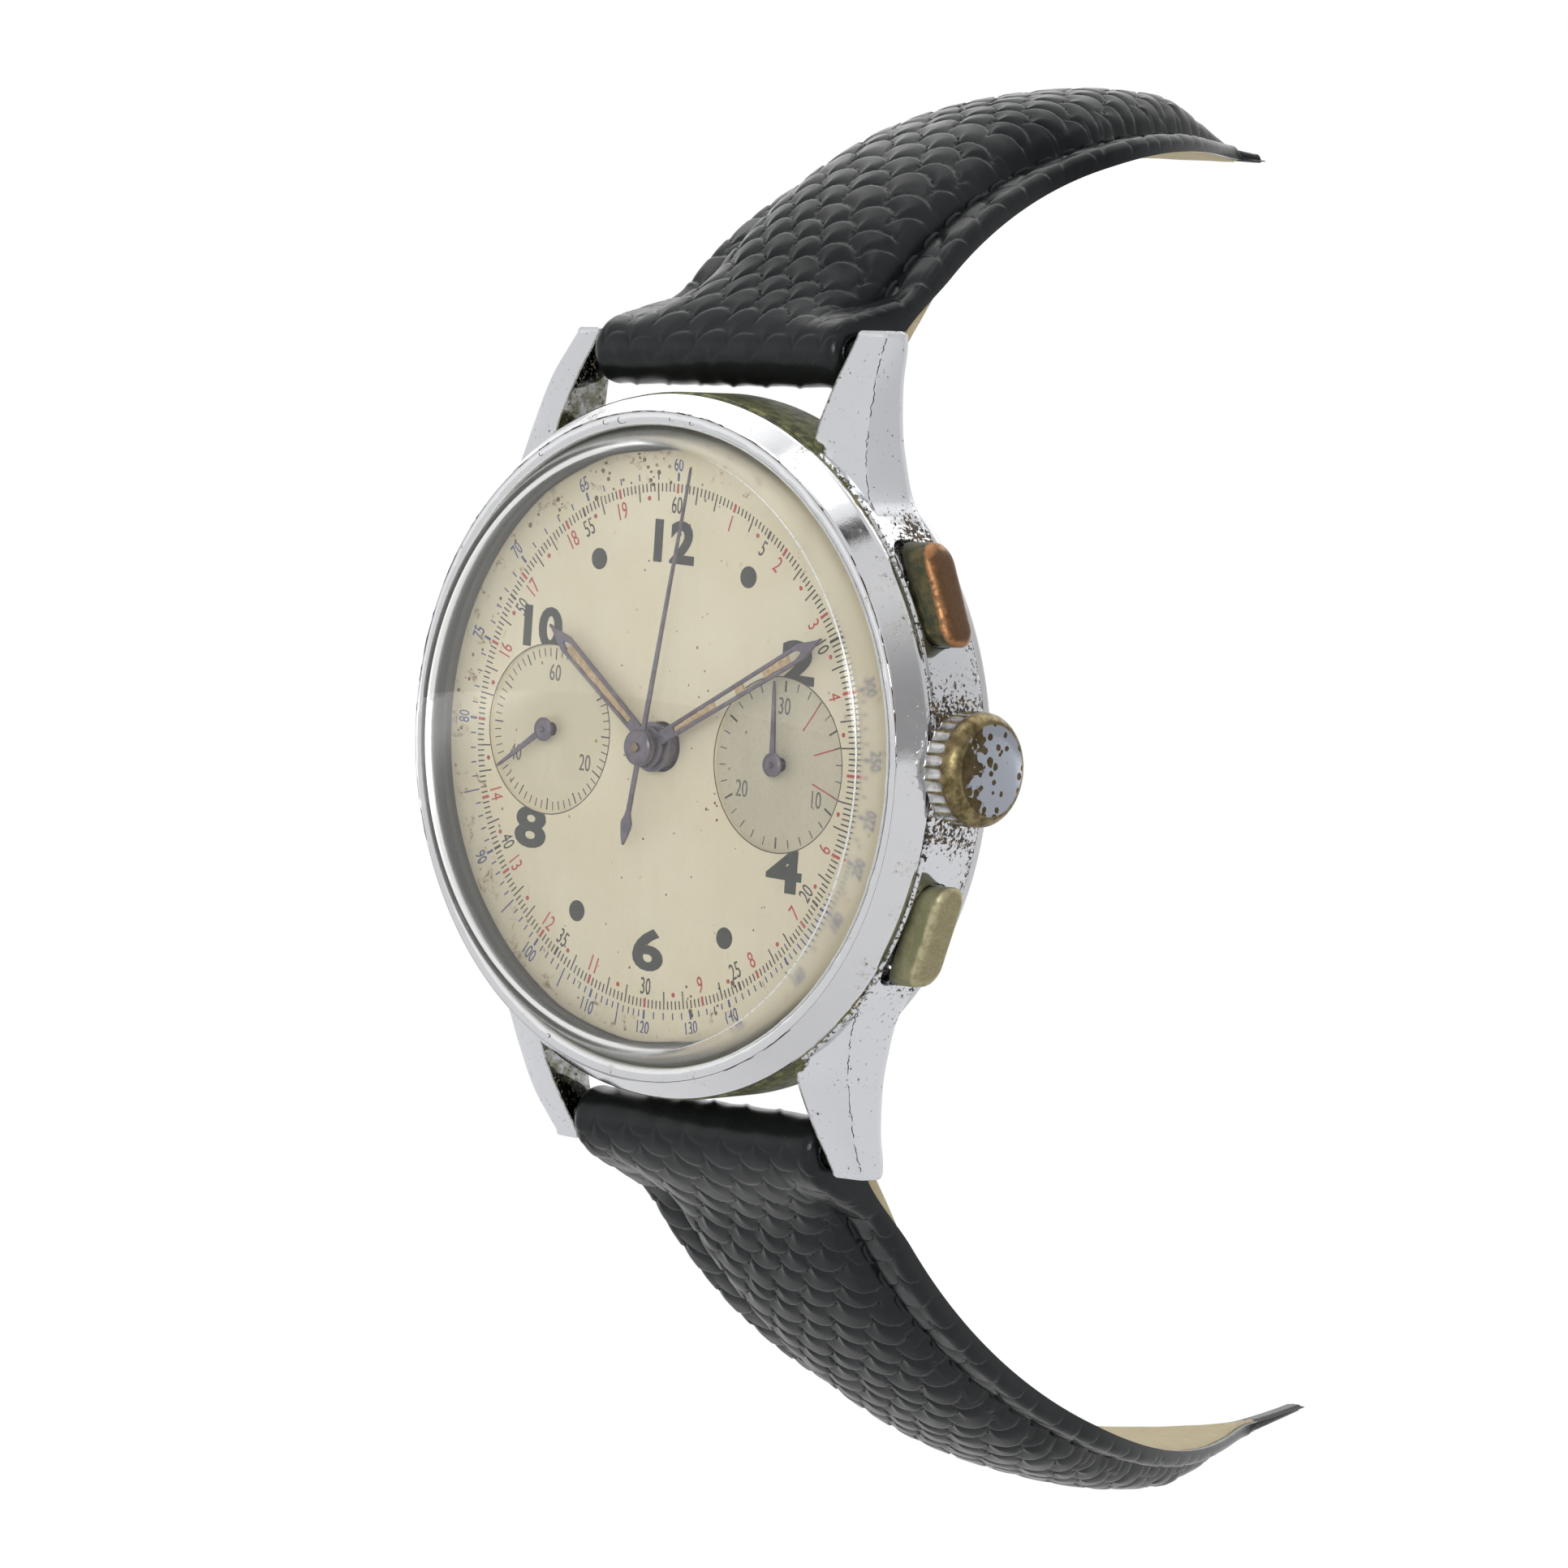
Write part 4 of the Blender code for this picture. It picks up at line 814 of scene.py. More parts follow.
def crack_mesh(sx, sy, seed):
    """The dark crack that runs down a lug's ridge, a thin broken thread."""
    rng = np.random.default_rng(seed)
    rows = smooth_steps(LUG, 14)[20:]
    parts, at = [], 0
    while at < len(rows) - 4:
        long = int(rng.integers(5, 16))
        run = rows[at : at + long]
        if len(run) > 3:
            rings = []
            for k, (y, hf, xr, hr, xo, hb) in enumerate(run):
                r = (0.014 + 0.018 * rng.random()) * (0.4 if k in (0, len(run) - 1) else 1.0)
                wander = 0.03 * rng.normal()
                rings.append([(sx * (xr - 0.03 + wander + r * cos(q)), sy * y, hr + 0.004 + r * sin(q) - wander * 0.5) for q in np.arange(6) * pi / 3])
            parts.append(rings_loft(rings))
        at += long + int(rng.integers(0, 4))
    return join(parts)


def head_ring(x, inset, slant, sy, round_by=0.86):
    """A pusher's outline across its axis: a rectangle with round corners, its plane leaning along the case wall."""
    half_y, half_h = 2.55 - inset, 1.05 - inset
    r = min(round_by, half_h - 0.02)
    ring = []
    for cy, ch, start in ((1, 1, 0), (-1, 1, 1), (-1, -1, 2), (1, -1, 3)):
        for j in range(9):
            a = (start + j / 8) * pi / 2
            y, h = cy * (half_y - r) + r * cos(a), ch * (half_h - r) + r * sin(a)
            ring.append((x - slant * (y + 2.55) / 5.1, sy * (PUSH_Y + y), STEM_H + h))
    return ring


def pusher_mesh(sy):
    steps = [(16.72, 0.1), (16.82, 0.0), (17.3, 0), (17.8, 0), (18.1, 0.0), (18.22, 0.02), (18.34, 0.07), (18.44, 0.15), (18.52, 0.26), (18.58, 0.4), (18.61, 0.58), (18.62, 0.8)]
    return rings_loft([head_ring(x, inset, 1.9, sy) for x, inset in steps])


band = lathe([(17.9, 7.25), (18.02, 7.2), (18.1, 7.08), (18.1, 3.62), (18.03, 3.46), (17.9, 3.4), (15.9, 3.38), (15.9, 7.25)], 256, lambda r, h, t: (r + np.where(r > 17, 0.008, 0) * uneven(t + 2), h), closed=True)
cuts = [rings_loft([head_ring(15.5, -0.05, 1.9, sy), head_ring(22, -0.05, 1.9, sy)]) for sy in (1, -1)]
cuts += [rings_loft([head_ring(17.0, -0.06, 2.74, sy), head_ring(17.85, -0.4, 2.74, sy, 1.1)]) for sy in (1, -1)]
cuts += [rod_x(0.45, -10.1, 10.1, sy * BAR_Z, BAR_H) for sy in (1, -1)] + [rod_x(0.9, 12, 22, 0, STEM_H)] + [rod_x(0.6, 10, 20, sy * PUSH_Y, STEM_H) for sy in (1, -1)]
v, f = solid_cut(band, cuts, [lug_mesh(sx, sy) for sx in (1, -1) for sy in (1, -1)])
make("case_band", v, f, CASE_MAT, "case", ["midcase"], 24)
v, f = join([crack_mesh(1, sy, 33 + sy) for sy in (1, -1)])
make("lug_cracks", v, f, GRIME, "case", angle=60)

# ---------------------------------------------------------------- crown and pushers
FLUTES = 27
CROWN_R = 2.85
crown_steps = [(18.4, -0.4, 0.0), (18.42, -0.2, 0.4), (18.5, -0.08, 0.85), (18.62, -0.02, 1.0), (18.9, 0, 1.0), (19.2, 0, 1.0), (19.45, 0, 0.9), (19.6, 0, 0.65), (19.72, 0, 0.3), (19.8, 0, 0.06), (19.9, -0.01, 0.0), (20.05, -0.05, 0.0), (20.2, -0.13, 0.0), (20.33, -0.23, 0.0), (20.42, -0.33, 0.0)]
crown_steps += [(20.47, -0.39, 0.0), (20.49, -0.43, 0.0), (20.5, -0.47, 0.0), (20.54, -0.55, 0.0), (20.58, -1.2, 0), (20.595, -1.95, 0), (20.6, -2.8, 0)]
crown_steps = [(x, CROWN_R + r, amount) for x, r, amount in crown_steps]
angles = np.arange(FLUTES * 10) * 2 * pi / (FLUTES * 10)
rings = []
for x, r, amount in crown_steps:
    wave = np.abs(np.cos(angles * FLUTES / 2)) ** 0.75
    rr = r - 0.17 * amount * wave
    rings.append(np.stack([np.full_like(rr, x), rr * np.cos(angles), STEM_H + rr * np.sin(angles)], 1))
inner = [np.stack([np.full_like(angles, x), r * np.cos(angles), STEM_H + r * np.sin(angles)], 1) for x, r in ((19.3, 0.5), (19.3, 1.05), (18.4, 1.05))]
v, f = rings_loft(inner + rings)
make("fluted_crown", v, f, CROWN_MAT, "crown_stem", ["crown"], 50)
for side, sy, mat in (("start", 1, START_MAT), ("reset", -1, RESET_MAT)):
    v, f = join([pusher_mesh(sy), rod_x(0.42, 11.9, 17.0, sy * PUSH_Y, STEM_H, 20)])
    make(f"{side}_button", v, f, mat, f"{side}_button", [f"{side}_pusher"], 30)

# ---------------------------------------------------------------- dial
disc = lathe([(0, 7.6), (15.42, 7.6), (15.5, 7.56), (15.5, 7.2), (0, 7.2)], 200)
v, f = solid_cut(disc, [rod(SUB_R, 7.4, 8.4, 120, F), rod(SUB_R, 7.4, 8.4, 120, M), rod(1.3, 6, 9, 48), rod(0.35, 6, 9, 24, F), rod(0.35, 6, 9, 24, M)])
index = []
for face in f:
    c = v[list(face)].mean(0)
    low = abs(c[2] - 7.4) < 0.02
    index.append(0 if not low else (1 if c[0] < 0 else 2))
make("dial_plate", v, f, [DIAL_MAT, SUB_MAT, SUB_GREY], "case", ["dial"], 30, index, recalc=False)

prints = {"spots": [], "black": [], "grey": [], "numeral": [], "red": [], "blue": []}


def bar(colour, r0, r1, deg, width, at=(0, 0), h=DIAL_H, thick=0.014):
    """A printed stroke along a radius, at a clock angle."""
    a = radians(deg)
    ux, uy = sin(a), cos(a)
    pts = [(at[0] + r * ux + s * width / 2 * uy, at[1] + r * uy - s * width / 2 * ux) for r, s in ((r0, -1), (r0, 1), (r1, 1), (r1, -1))]
    verts = [(x, y, h - 0.004) for x, y in pts] + [(x, y, h + thick) for x, y in pts]
    prints[colour].append((np.array(verts), [(3, 2, 1, 0), (4, 5, 6, 7), (0, 1, 5, 4), (1, 2, 6, 5), (2, 3, 7, 6), (3, 0, 4, 7)]))


def dot(colour, r, deg, size, at=(0, 0), h=DIAL_H, seg=28, thick=0.014):
    a = radians(deg)
    v, f = lathe([(0, h + thick), (size * 0.92, h + thick), (size, h + thick * 0.6), (size, h - 0.004), (0, h - 0.004)], seg)
    v[:, 0] += at[0] + r * sin(a)
    v[:, 1] += at[1] + r * cos(a)
    prints[colour].append((v, f))


def ring_line(colour, r, width, at, h, seg=120, thick=0.012):
    v, f = lathe([(r - width / 2, h - 0.004), (r - width / 2, h + thick), (r + width / 2, h + thick), (r + width / 2, h - 0.004)], seg, closed=True)
    v[:, 0] += at[0]
    v[:, 1] += at[1]
    prints[colour].append((v, f))


letters = {}


def figure(text, bold):
    if (text, bold) not in letters:
        curve = bpy.data.curves.new("figure", "FONT")
        curve.body = text
        curve.align_x = "LEFT"
        curve.extrude = 0.01
        curve.offset = bold
        curve.resolution_u = 4
        v, f = baked(bpy.data.objects.new("figure", curve))
        v = v - (v.min(0) + v.max(0)) / 2
        letters[(text, bold)] = (v, f)
    return letters[(text, bold)]


def number(colour, text, x, y, tall, turn=0.0, wide=0.8, bold=0.0, h=DIAL_H, thick=0.016):
    """A printed number centred on a point, turned clockwise."""
    v, f = figure(text, bold)
    v = v.copy()
    k = tall / (v[:, 1].max() - v[:, 1].min())
    v[:, 0] *= k * wide
    v[:, 1] *= k
    v[:, 2] = h + np.where(v[:, 2] > 0, thick, -0.004)
    a = -radians(turn)
    v = np.stack([x + v[:, 0] * cos(a) - v[:, 1] * sin(a), y + v[:, 0] * sin(a) + v[:, 1] * cos(a), v[:, 2]], 1)
    prints[colour].append((v, f))


def round_number(colour, text, r, deg, tall, flip=True, **more):
    """A number that follows the track; below the middle it stands the readable way up."""
    a = radians(deg)
    turn = deg if not (flip and 90 < deg % 360 < 270) else deg + 180
    number(colour, text, r * sin(a), r * cos(a), tall, turn, **more)


# seconds track in fifths, with the distance scale in red and the speed scale in blue
for i in range(300):
    deg, second = i * 1.2, i / 5
    if i % 15 == 0:
        bar("red", 12.93, 13.42, deg, 0.15)
    elif i % 25 == 0:
        bar("black", 12.93, 13.42, deg, 0.14)
    elif i % 5 == 0:
        bar("black", 12.5, 13.42, deg, 0.075)
    else:
        bar("black", 12.98, 13.42, deg, 0.075)
for s in (5, 10, 20, 25, 30, 35, 40, 50, 55, 60):
    round_number("black", str(s), 12.32, s * 6, 0.86, wide=0.62)
for k in range(1, 20):
    if k * 3 % 15:
        round_number("red", str(k), 12.32, k * 18, 0.86, wide=0.66)
for k in range(1, 20):
    dot("red", 12.66, k * 18 + 9, 0.12, seg=16)
for speed in [*range(60, 121, 1), *range(122, 201, 2), *range(210, 301, 10)]:
    deg = 3600 / speed * 6
    if speed == 60:
        deg = 360
    named = speed in (60, 65, 70, 75, 80, 90, 100, 110, 120, 130, 140, 160, 180, 200, 220, 250, 300)
    if named:
        bar("blue", 13.56, 14.02, deg, 0.13)
        round_number("blue", str(speed), 14.52, deg, 0.76, wide=0.62)
    elif speed in (85, 95, 105, 115, 125, 135):
        bar("blue", 13.56, 14.7, deg, 0.07)
    else:
        bar("blue", 13.6, 13.96, deg, 0.07)
# hours: bold numbers at the even hours, dots between
for hour in (12, 2, 4, 6, 8, 10):
    a = radians(hour * 30)
    number("numeral", str(hour), 10.45 * sin(a), 10.45 * cos(a), 2.2, 0, wide=1.58 if hour < 10 else 1.18, bold=0.035, thick=0.03)
    if hour in (2, 4, 8, 10):
        prints["numeral"][-1] = solid_cut(prints["numeral"][-1], [rod(SUB_R + 0.04, 7.0, 8.4, 120, (SUB_X if hour < 6 else -SUB_X, 0))])
for hour in (1, 5, 7, 11):
    dot("numeral", 10.55, hour * 30, 0.55, seg=40, thick=0.03)
# age spots, most of them along the upper left edge
rng = np.random.default_rng(41)
for many, clock, wide_by, r0, r1, big in ((34, -28, 26, 13.3, 15.25, 0.15), (14, -78, 24, 13.4, 15.2, 0.12), (9, 160, 10, 12.2, 14.6, 0.16), (8, 128, 12, 3.2, 5.4, 0.09), (60, 0, 180, 1.6, 14.8, 0.07)):
    for _ in range(many):
        deg, r = clock + wide_by * rng.uniform(-1, 1), rng.uniform(r0, r1)
        if min(np.hypot(r * sin(radians(deg)) - side * SUB_X, r * cos(radians(deg))) for side in (-1, 1)) > SUB_R + 0.2:
            dot("spots", r, deg, big * rng.uniform(0.25, 1.0), seg=9, thick=0.008)
# registers
FLOOR = DIAL_H - SUB_DEEP
left, right = (-SUB_X, 0), (SUB_X, 0)
for at in (left, right):
    ring_line("black", SUB_R + 0.02, 0.05, at, DIAL_H)
for i in range(60):
    bar("black", 3.78 if i % 5 else 3.62, 4.22, i * 6, 0.05 if i % 5 else 0.07, left, FLOOR)
for i in range(30):
    bar("black", 3.78 if i % 5 else 3.66, 4.22, i * 12, 0.05 if i % 5 else 0.1, right, FLOOR)
for i in (3, 6, 9):
    bar("red", 2.3, 4.22, i * 12, 0.07, right, FLOOR)
for text, deg in (("60", 0), ("20", 120), ("40", 240)):
    number("grey", text, left[0] + 2.95 * sin(radians(deg)), 2.95 * cos(radians(deg)), 0.86, 0, wide=0.7, h=FLOOR)
for text, deg in (("30", 0), ("10", 120), ("20", 240)):
    number("grey", text, right[0] + 2.95 * sin(radians(deg)), 2.95 * cos(radians(deg)), 0.86, 0, wide=0.7, h=FLOOR)
for colour, mat in (("spots", ink("age_spots", (0.15, 0.075, 0.022), 0.5)), ("black", BLACK_INK), ("grey", GREY_INK), ("numeral", OLIVE_INK), ("red", RED_INK), ("blue", BLUE_INK)):
    v, f = join(prints[colour])
    make(f"dial_print_{colour}", spun(v, 3.0), f, mat, "case", angle=50, recalc=False)


# ---------------------------------------------------------------- hands
def baton(long, w_root, w_tip, slot0, slot1, hub, bore, wall):
    y = sqrt(hub**2 - w_root**2 / 4)
    edge = [(w_root / 2, y), (w_tip / 2, long - 1.5), (0.07, long - 0.25), (0.05, long), (-0.05, long), (-0.07, long - 0.25), (-w_tip / 2, long - 1.5), (-w_root / 2, y)]
    top = atan2(y, w_root / 2)
    arc = [(hub * cos(pi - top + (2 * top + pi) * i / 30), hub * sin(pi - top + (2 * top + pi) * i / 30)) for i in range(1, 30)]

    def half(at):
        return w_root / 2 + (w_tip - w_root) / 2 * (at - y) / (long - 1.5 - y) - wall

    slot = [(half(slot0), slot0), (half(slot1), slot1), (0.06, slot1 + 0.5), (-0.06, slot1 + 0.5), (-half(slot1), slot1), (-half(slot0), slot0)]
    return [edge + arc, slot, circle(bore, 32)], half


def lume_fill(half, pieces, h0, h1):
    """Luminous paint in a slot, with ragged ends where it has fallen out."""
    rng = np.random.default_rng(5)
    out = []
    for a, b in pieces:
        ys = np.linspace(a, b, 9)
        right = [(half(y) - 0.012 + 0.012 * rng.normal(), y + (0.07 * rng.normal() if 0 < i < 8 else 0)) for i, y in enumerate(ys)]
        loop = [(max(x, 0.05), y) for x, y in right] + [(-max(x, 0.05), y) for x, y in right[::-1]]
        out.append(plate([loop], h0, h1, 0.02))
    return join(out)


loops, half = baton(9.55, 0.72, 0.92, 2.0, 7.7, 1.28, 0.87, 0.2)
v, f = plate(loops, 8.22, 8.4)
make("hour_baton", spun(v, HOUR_AT), f, BLUED, "hours", ["hour_hand"], 40)
v, f = lume_fill(half, [(2.05, 7.75)], 8.25, 8.36)
make("hour_lume", spun(v, HOUR_AT), f, LUME, "hours")
loops, half = baton(13.3, 0.66, 0.86, 2.2, 11.3, 1.08, 0.46, 0.2)
v, f = plate(loops, 8.62, 8.8)
make("minute_baton", spun(v, MINUTE_AT), f, BLUED, "minutes", ["minute_hand"], 40)
v, f = lume_fill(half, [(2.25, 5.3), (6.9, 7.5), (9.0, 10.9)], 8.65, 8.76)
make("minute_lume", spun(v, MINUTE_AT), f, LUME, "minutes")


def needle(long, tail, w0, w1, hub, spear):
    y = sqrt(hub**2 - w0**2 / 4)
    top = atan2(y, w0 / 2)
    edge = [(w0 / 2, y), (w1 / 2, long - 0.3), (0.02, long), (-0.02, long), (-w1 / 2, long - 0.3), (-w0 / 2, y)]
    lft = [(hub * cos(pi - top + 2 * top * i / 16), hub * sin(pi - top + 2 * top * i / 16)) for i in range(1, 17)]
    if spear:
        back = [(-w0 / 2, -tail * 0.66), (-0.2, -tail * 0.7), (-0.36, -tail * 0.77), (-0.34, -tail * 0.82), (-0.2, -tail * 0.92), (-0.03, -tail)]
        back += [(-x, yy) for x, yy in back[::-1]]
    else:
        back = []
    rgt = [(hub * cos(-top + 2 * top * i / 16), hub * sin(-top + 2 * top * i / 16)) for i in range(16)]
    return edge + lft + back + rgt


hub_cap = lathe([(0, 9.62), (0.16, 9.62), (0.2, 9.58), (0.2, 9.5), (0.34, 9.46), (0.7, 9.5), (0.84, 9.46), (0.91, 9.38), (0.91, 9.1), (0, 9.1)], 48)
v, f = join([plate([needle(14.6, 5.15, 0.28, 0.11, 0.96, True)], 9.05, 9.2), hub_cap])
make("chronograph_needle", spun(v, CHRONO_AT), f, BLUED, "chronograph", ["chronograph_hand"], 40)
v, f = lathe([(0, 9.66), (0.2, 9.66), (0.26, 9.62), (0.26, 9.5), (0, 9.5)], 24)
make("hand_post", v, f, POST_MAT.mat, "chronograph")
for name, node, body, at, deg, long in (("seconds_needle", "running_seconds_hand", "seconds", F, SECONDS_AT, 4.05), ("counter_needle", "minute_counter_hand", "minute_counter", M, COUNTER_AT, 4.2)):
    cap = lathe([(0, 8.26), (0.1, 8.26), (0.14, 8.22), (0.16, 8.14), (0.34, 8.17), (0.52, 8.14), (0.59, 8.06), (0.59, 7.95), (0, 7.95)], 32)
    v, f = join([plate([needle(long, 0, 0.34, 0.16, 0.62, False)], 7.97, 8.1), cap])
    v = spun(v, deg)
    v[:, 0] += at[0]
    v[:, 1] += at[1]
    make(name, v, f, BLUED, body, [node], 40)

# ---------------------------------------------------------------- strap
# where each half starts behind its bar, its lean there, half way and at its tip (degrees), and its length
UPPER_LINE = ((8.2, 20.55), 54.3, 11.4, 0.3, 42.1)
LOWER_LINE = ((7.75, 21.6), 56.9, 19.4, -7.6, 53.0)
ROLL_R, BORDER_H, SEAM_IN, EDGE_H = 1.72, 1.22, 2.45, 0.18


def ease(value, low, high):
    t = np.clip((value - low) / (high - low), 0, 1)
    return t * t * (3 - 2 * t)


def strap_axis(line, n=1200):
    """Fine points along the under side of a strap, with the lean at each, by distance from its start."""
    (y, z), lean0, mid, lean1, length = line
    t = (np.arange(n) + 0.5) / n
    lean = np.radians(lean0 * (1 - t) * (1 - 2 * t) + mid * 4 * t * (1 - t) + lean1 * t * (2 * t - 1))
    pts = np.vstack([(y, z), (y, z) + np.cumsum(np.stack([np.cos(lean), np.sin(lean)], 1) * length / n, 0)])
    return np.linspace(0, length, n + 1), pts, np.append(lean, lean[-1])


def strap_width(s, length):
    t = np.clip(s / length, 0, 1)
    past = np.clip((t - 0.45) / (0.5 if length < 50 else 0.46), 0, 1)
    return np.sqrt(((8.6 - 0.6 * t) * (1 - past**1.6)) ** 2 + 0.62**2)


def grain(x, s, seed, px=2.25, ps=1.38):
    """Lizard scales: rows of round-ended tongues, each lying over the next row further out; 0 in the creases to 1."""
    rng = np.random.default_rng(seed)
    base, slide, bend = rng.normal(0, 0.1, 256), rng.normal(0, 0.07, 256), rng.normal(0, 1, (64, 256))
    x, s = np.asarray(x, float), np.asarray(s, float)
    xw = x + 0.2 * np.sin(0.45 * s + 0.5 * x + seed) + 0.12 * np.sin(1.1 * s - 0.9 * x)
    sw = s + 0.16 * np.sin(0.62 * x + 0.2 * s + seed)

    def far_edge(i, xx):
        q = xx / px - (0.5 * (i % 2) + slide[i % 256])
        j = np.floor(q).astype(int)
        q = 2 * (q - j) - 1
        reach = 1.02 * (1 + 0.12 * bend[j % 64, i % 256])
        return (i + 0.5) * ps + base[i % 256] + reach * np.sqrt(np.clip(1 - np.abs(q) ** 2.3, 0, 1)), q

    first = np.floor((sw - 0.5 * ps - 1.5) / ps).astype(int)
    own, below, q_own = np.full(x.shape, np.nan), np.full(x.shape, -1e3), np.zeros(x.shape)
    slope = np.zeros(x.shape)
    for k in range(5):
        edge, q = far_edge(first + k, xw)
        lean = (far_edge(first + k, xw + 0.03)[0] - far_edge(first + k, xw - 0.03)[0]) / 0.06
        mine = np.isnan(own) & (sw < edge)
        own, q_own, slope = np.where(mine, edge, own), np.where(mine, q, q_own), np.where(mine, lean, slope)
        below = np.where(np.isnan(own), np.maximum(below, edge), below)
    ahead = np.clip((own - sw) / np.sqrt(1 + np.clip(slope, -3, 3) ** 2) / 0.22, 0, 1)
    behind = np.clip((sw - below) / 1.0, 0, 1)
    crest = np.sqrt(1 - (1 - ahead) ** 2)
    return (0.5 + 0.5 * behind * (2 - behind)) * (0.12 + 0.88 * crest) * (1 - 0.16 * q_own**2)


def strap_meshes(name, line, sy, seed, body):
    dist, pts, lean = strap_axis(line)
    length = line[4]
    d0, n0 = np.array([cos(lean[0]), sin(lean[0])]), np.array([-sin(lean[0]), cos(lean[0])])
    off = np.array([7.6 - BAR_H, BAR_Z]) - pts[0]
    back, rise = -off @ d0, off @ n0

    def at(s, h):
        """A point of the strap's side view, s along it and h above its under side."""
        i = np.clip(s, 0, length)
        y, z, a = np.interp(i, dist, pts[:, 0]), np.interp(i, dist, pts[:, 1]), np.interp(i, dist, lean)
        return y + (s - i) * np.cos(a) - h * np.sin(a), z + (s - i) * np.sin(a) + h * np.cos(a)

    def ring(x, s, h, w, low_s, low_h, lip):
        """A closed section: the top line, then the turned edges and the under side that the lining covers."""
        y, z = at(s, h)
        under = [(w - 0.03, lip), (w - 0.3, lip), (w - 0.34, low_h), (0.34 - w, low_h), (0.3 - w, lip), (0.03 - w, lip)]
        low_y, low_z = at(np.full(6, low_s), np.array([q for _, q in under]))
        return np.vstack([np.stack([x, sy * z, 7.6 - y], 1), np.stack([[q for q, _ in under], sy * low_z, 7.6 - low_y], 1)])

    u = np.linspace(-1, 1, 201)
    u = np.sign(u) * (1 - (1 - np.abs(u)) ** 1.12)
    flat_at = lambda v: np.full_like(u, v)
    top_h = rise + ROLL_R
    rings = []
    turn = np.radians(np.linspace(-40, -270, 72))
    for a in turn:
        w = float(strap_width(0.0, length))
        x = u * w
        edge = np.clip((np.abs(x) - (w - 0.7)) / 0.7, 0, 1)
        amount = ease(-a, radians(200), radians(258))
        along = -back - ROLL_R * (a + pi * 1.5)
        r = ROLL_R + (0.1 * grain(x, flat_at(along), seed) - 0.08) * amount - 0.6 * (1 - np.sqrt(1 - edge**2)) + (0.02 * np.sin(x * 2.9 + 1.3 * np.sin(x * 0.7)) + 0.07 * np.clip(np.sin(x * 2.7 + 4.5 * a), 0, 1) ** 6 * ease(a, radians(-185), radians(-150))) * (1 - amount)
        rings.append(ring(x, -back + r * cos(a), rise + r * sin(a), w, -back + 0.92 * cos(a), rise + 0.92 * sin(a), rise + 0.95 * sin(a)))
    run = np.append(np.arange(-back + 0.09, length, 0.09), length)
    for s in run:
        w = float(strap_width(s, length))
        x = u * w
        ax = np.abs(x)
        t = min(max(s / length, 0.0), 1.0)
        thin = (1 - 0.4 * max(0.0, (t - 0.5) / 0.5) ** 2) * (1 - 0.4 * float(ease(t, 0.9, 1.0)))
        seam = w - SEAM_IN * min(1.0, w / 7.5)
        border = (BORDER_H - 0.25 * t) * thin
        level = 3.3 + 0.42 * float(ease(t, 0.1, 0.36)) if sy > 0 else 2.5 + 0.58 * float(ease(t, 0.16, 0.5))
        crown = (level + (top_h - level) * np.exp(-(s + back) / 2.0)) * (1 - 0.36 * max(0.0, (t - 0.6) / 0.4) ** 1.5)
        crown = border + (crown - border) * min(1.0, w / 4.2)
        inside = np.clip((seam - 0.1 - ax) / max(seam, 0.3), 0, 1)
        h = border + (crown - border) * np.sqrt(1 - (1 - inside) ** 2.6)
        fade = np.clip((seam - ax) / 0.7, 0, 1)
        calm = 1 - 0.9 * float(ease(s, length * 0.8, length * 0.93))
        deep = (0.1 + 0.26 * float(ease(s, -back + 0.2, 3.4))) * calm
        pillow = deep * grain(x, flat_at(s), seed) - 0.8 * deep
        ripple = 0.26 * grain((ax - w + 2.4) * 0.9, flat_at(s), seed + 7, 2.5, 1.75) - 0.1
        shape = h + pillow * fade + (1 - fade) * ripple * thin * calm
        start = ease(s, -back + 0.1, 3.0)
        groove = (0.5 * np.exp(-(((ax - seam) / 0.2) ** 2)) + 0.14 * np.exp(-(((ax - seam) / 0.6) ** 2))) * thin * ease(s, -0.4, 2.0)
        h = (top_h + pillow) * (1 - start) + shape * start - groove
        under = s + back
        tip = float(ease(s, length * (0.94 if sy > 0 else 0.905), length * (0.955 if sy > 0 else 0.925)))
        bottom = max(0.82, rise + sqrt(max(0.92**2 - under**2, 0.0))) if under < 0.92 else 0.82 - 0.7 * tip
        lip = EDGE_H + (bottom - EDGE_H) * (1 - float(ease(s, -0.6, 5.0)))
        h = np.maximum(h, bottom + 0.16)
        edge = np.clip((ax - (w - 0.6)) / 0.6, 0, 1)
        h = h - np.minimum(0.6, 0.75 * (h - lip)) * (1 - np.sqrt(1 - edge**2))
        rings.append(ring(x, flat_at(s), h, w, s, bottom, lip))
    v, f = rings_loft(rings)
    leather = make(f"{name}_leather", v, f, LEATHER, body, [f"{name}_strap"], 70)

    rings = []
    end = length * (0.95 if sy > 0 else 0.92)
    for s in np.append(np.arange(0.0, end, 0.4), end):
        w = max(float(strap_width(s, length)) - 0.12 - 0.28 * float(ease(s, 1.5, 6.0)), 0.12)
        xs = np.linspace(-w, w, 25)
        curl = np.clip((np.abs(xs) - w + 0.5) / 0.5, 0, 1) ** 2
        low_y, low_z = at(np.full_like(xs, s), 0.02 + 0.16 * curl + 0.01 * np.sin(s * 1.7 + xs))
        top_y, top_z = at(np.full_like(xs, s), np.full_like(xs, 0.8))
        rings.append(np.vstack([np.stack([xs, sy * low_z, 7.6 - low_y], 1), np.stack([xs, sy * top_z, 7.6 - top_y], 1)[::-1]]))
    v, f = rings_loft(rings)
    make(f"{name}_lining", v, f, LINING, body, [f"{name}_strap_lining"], 50)

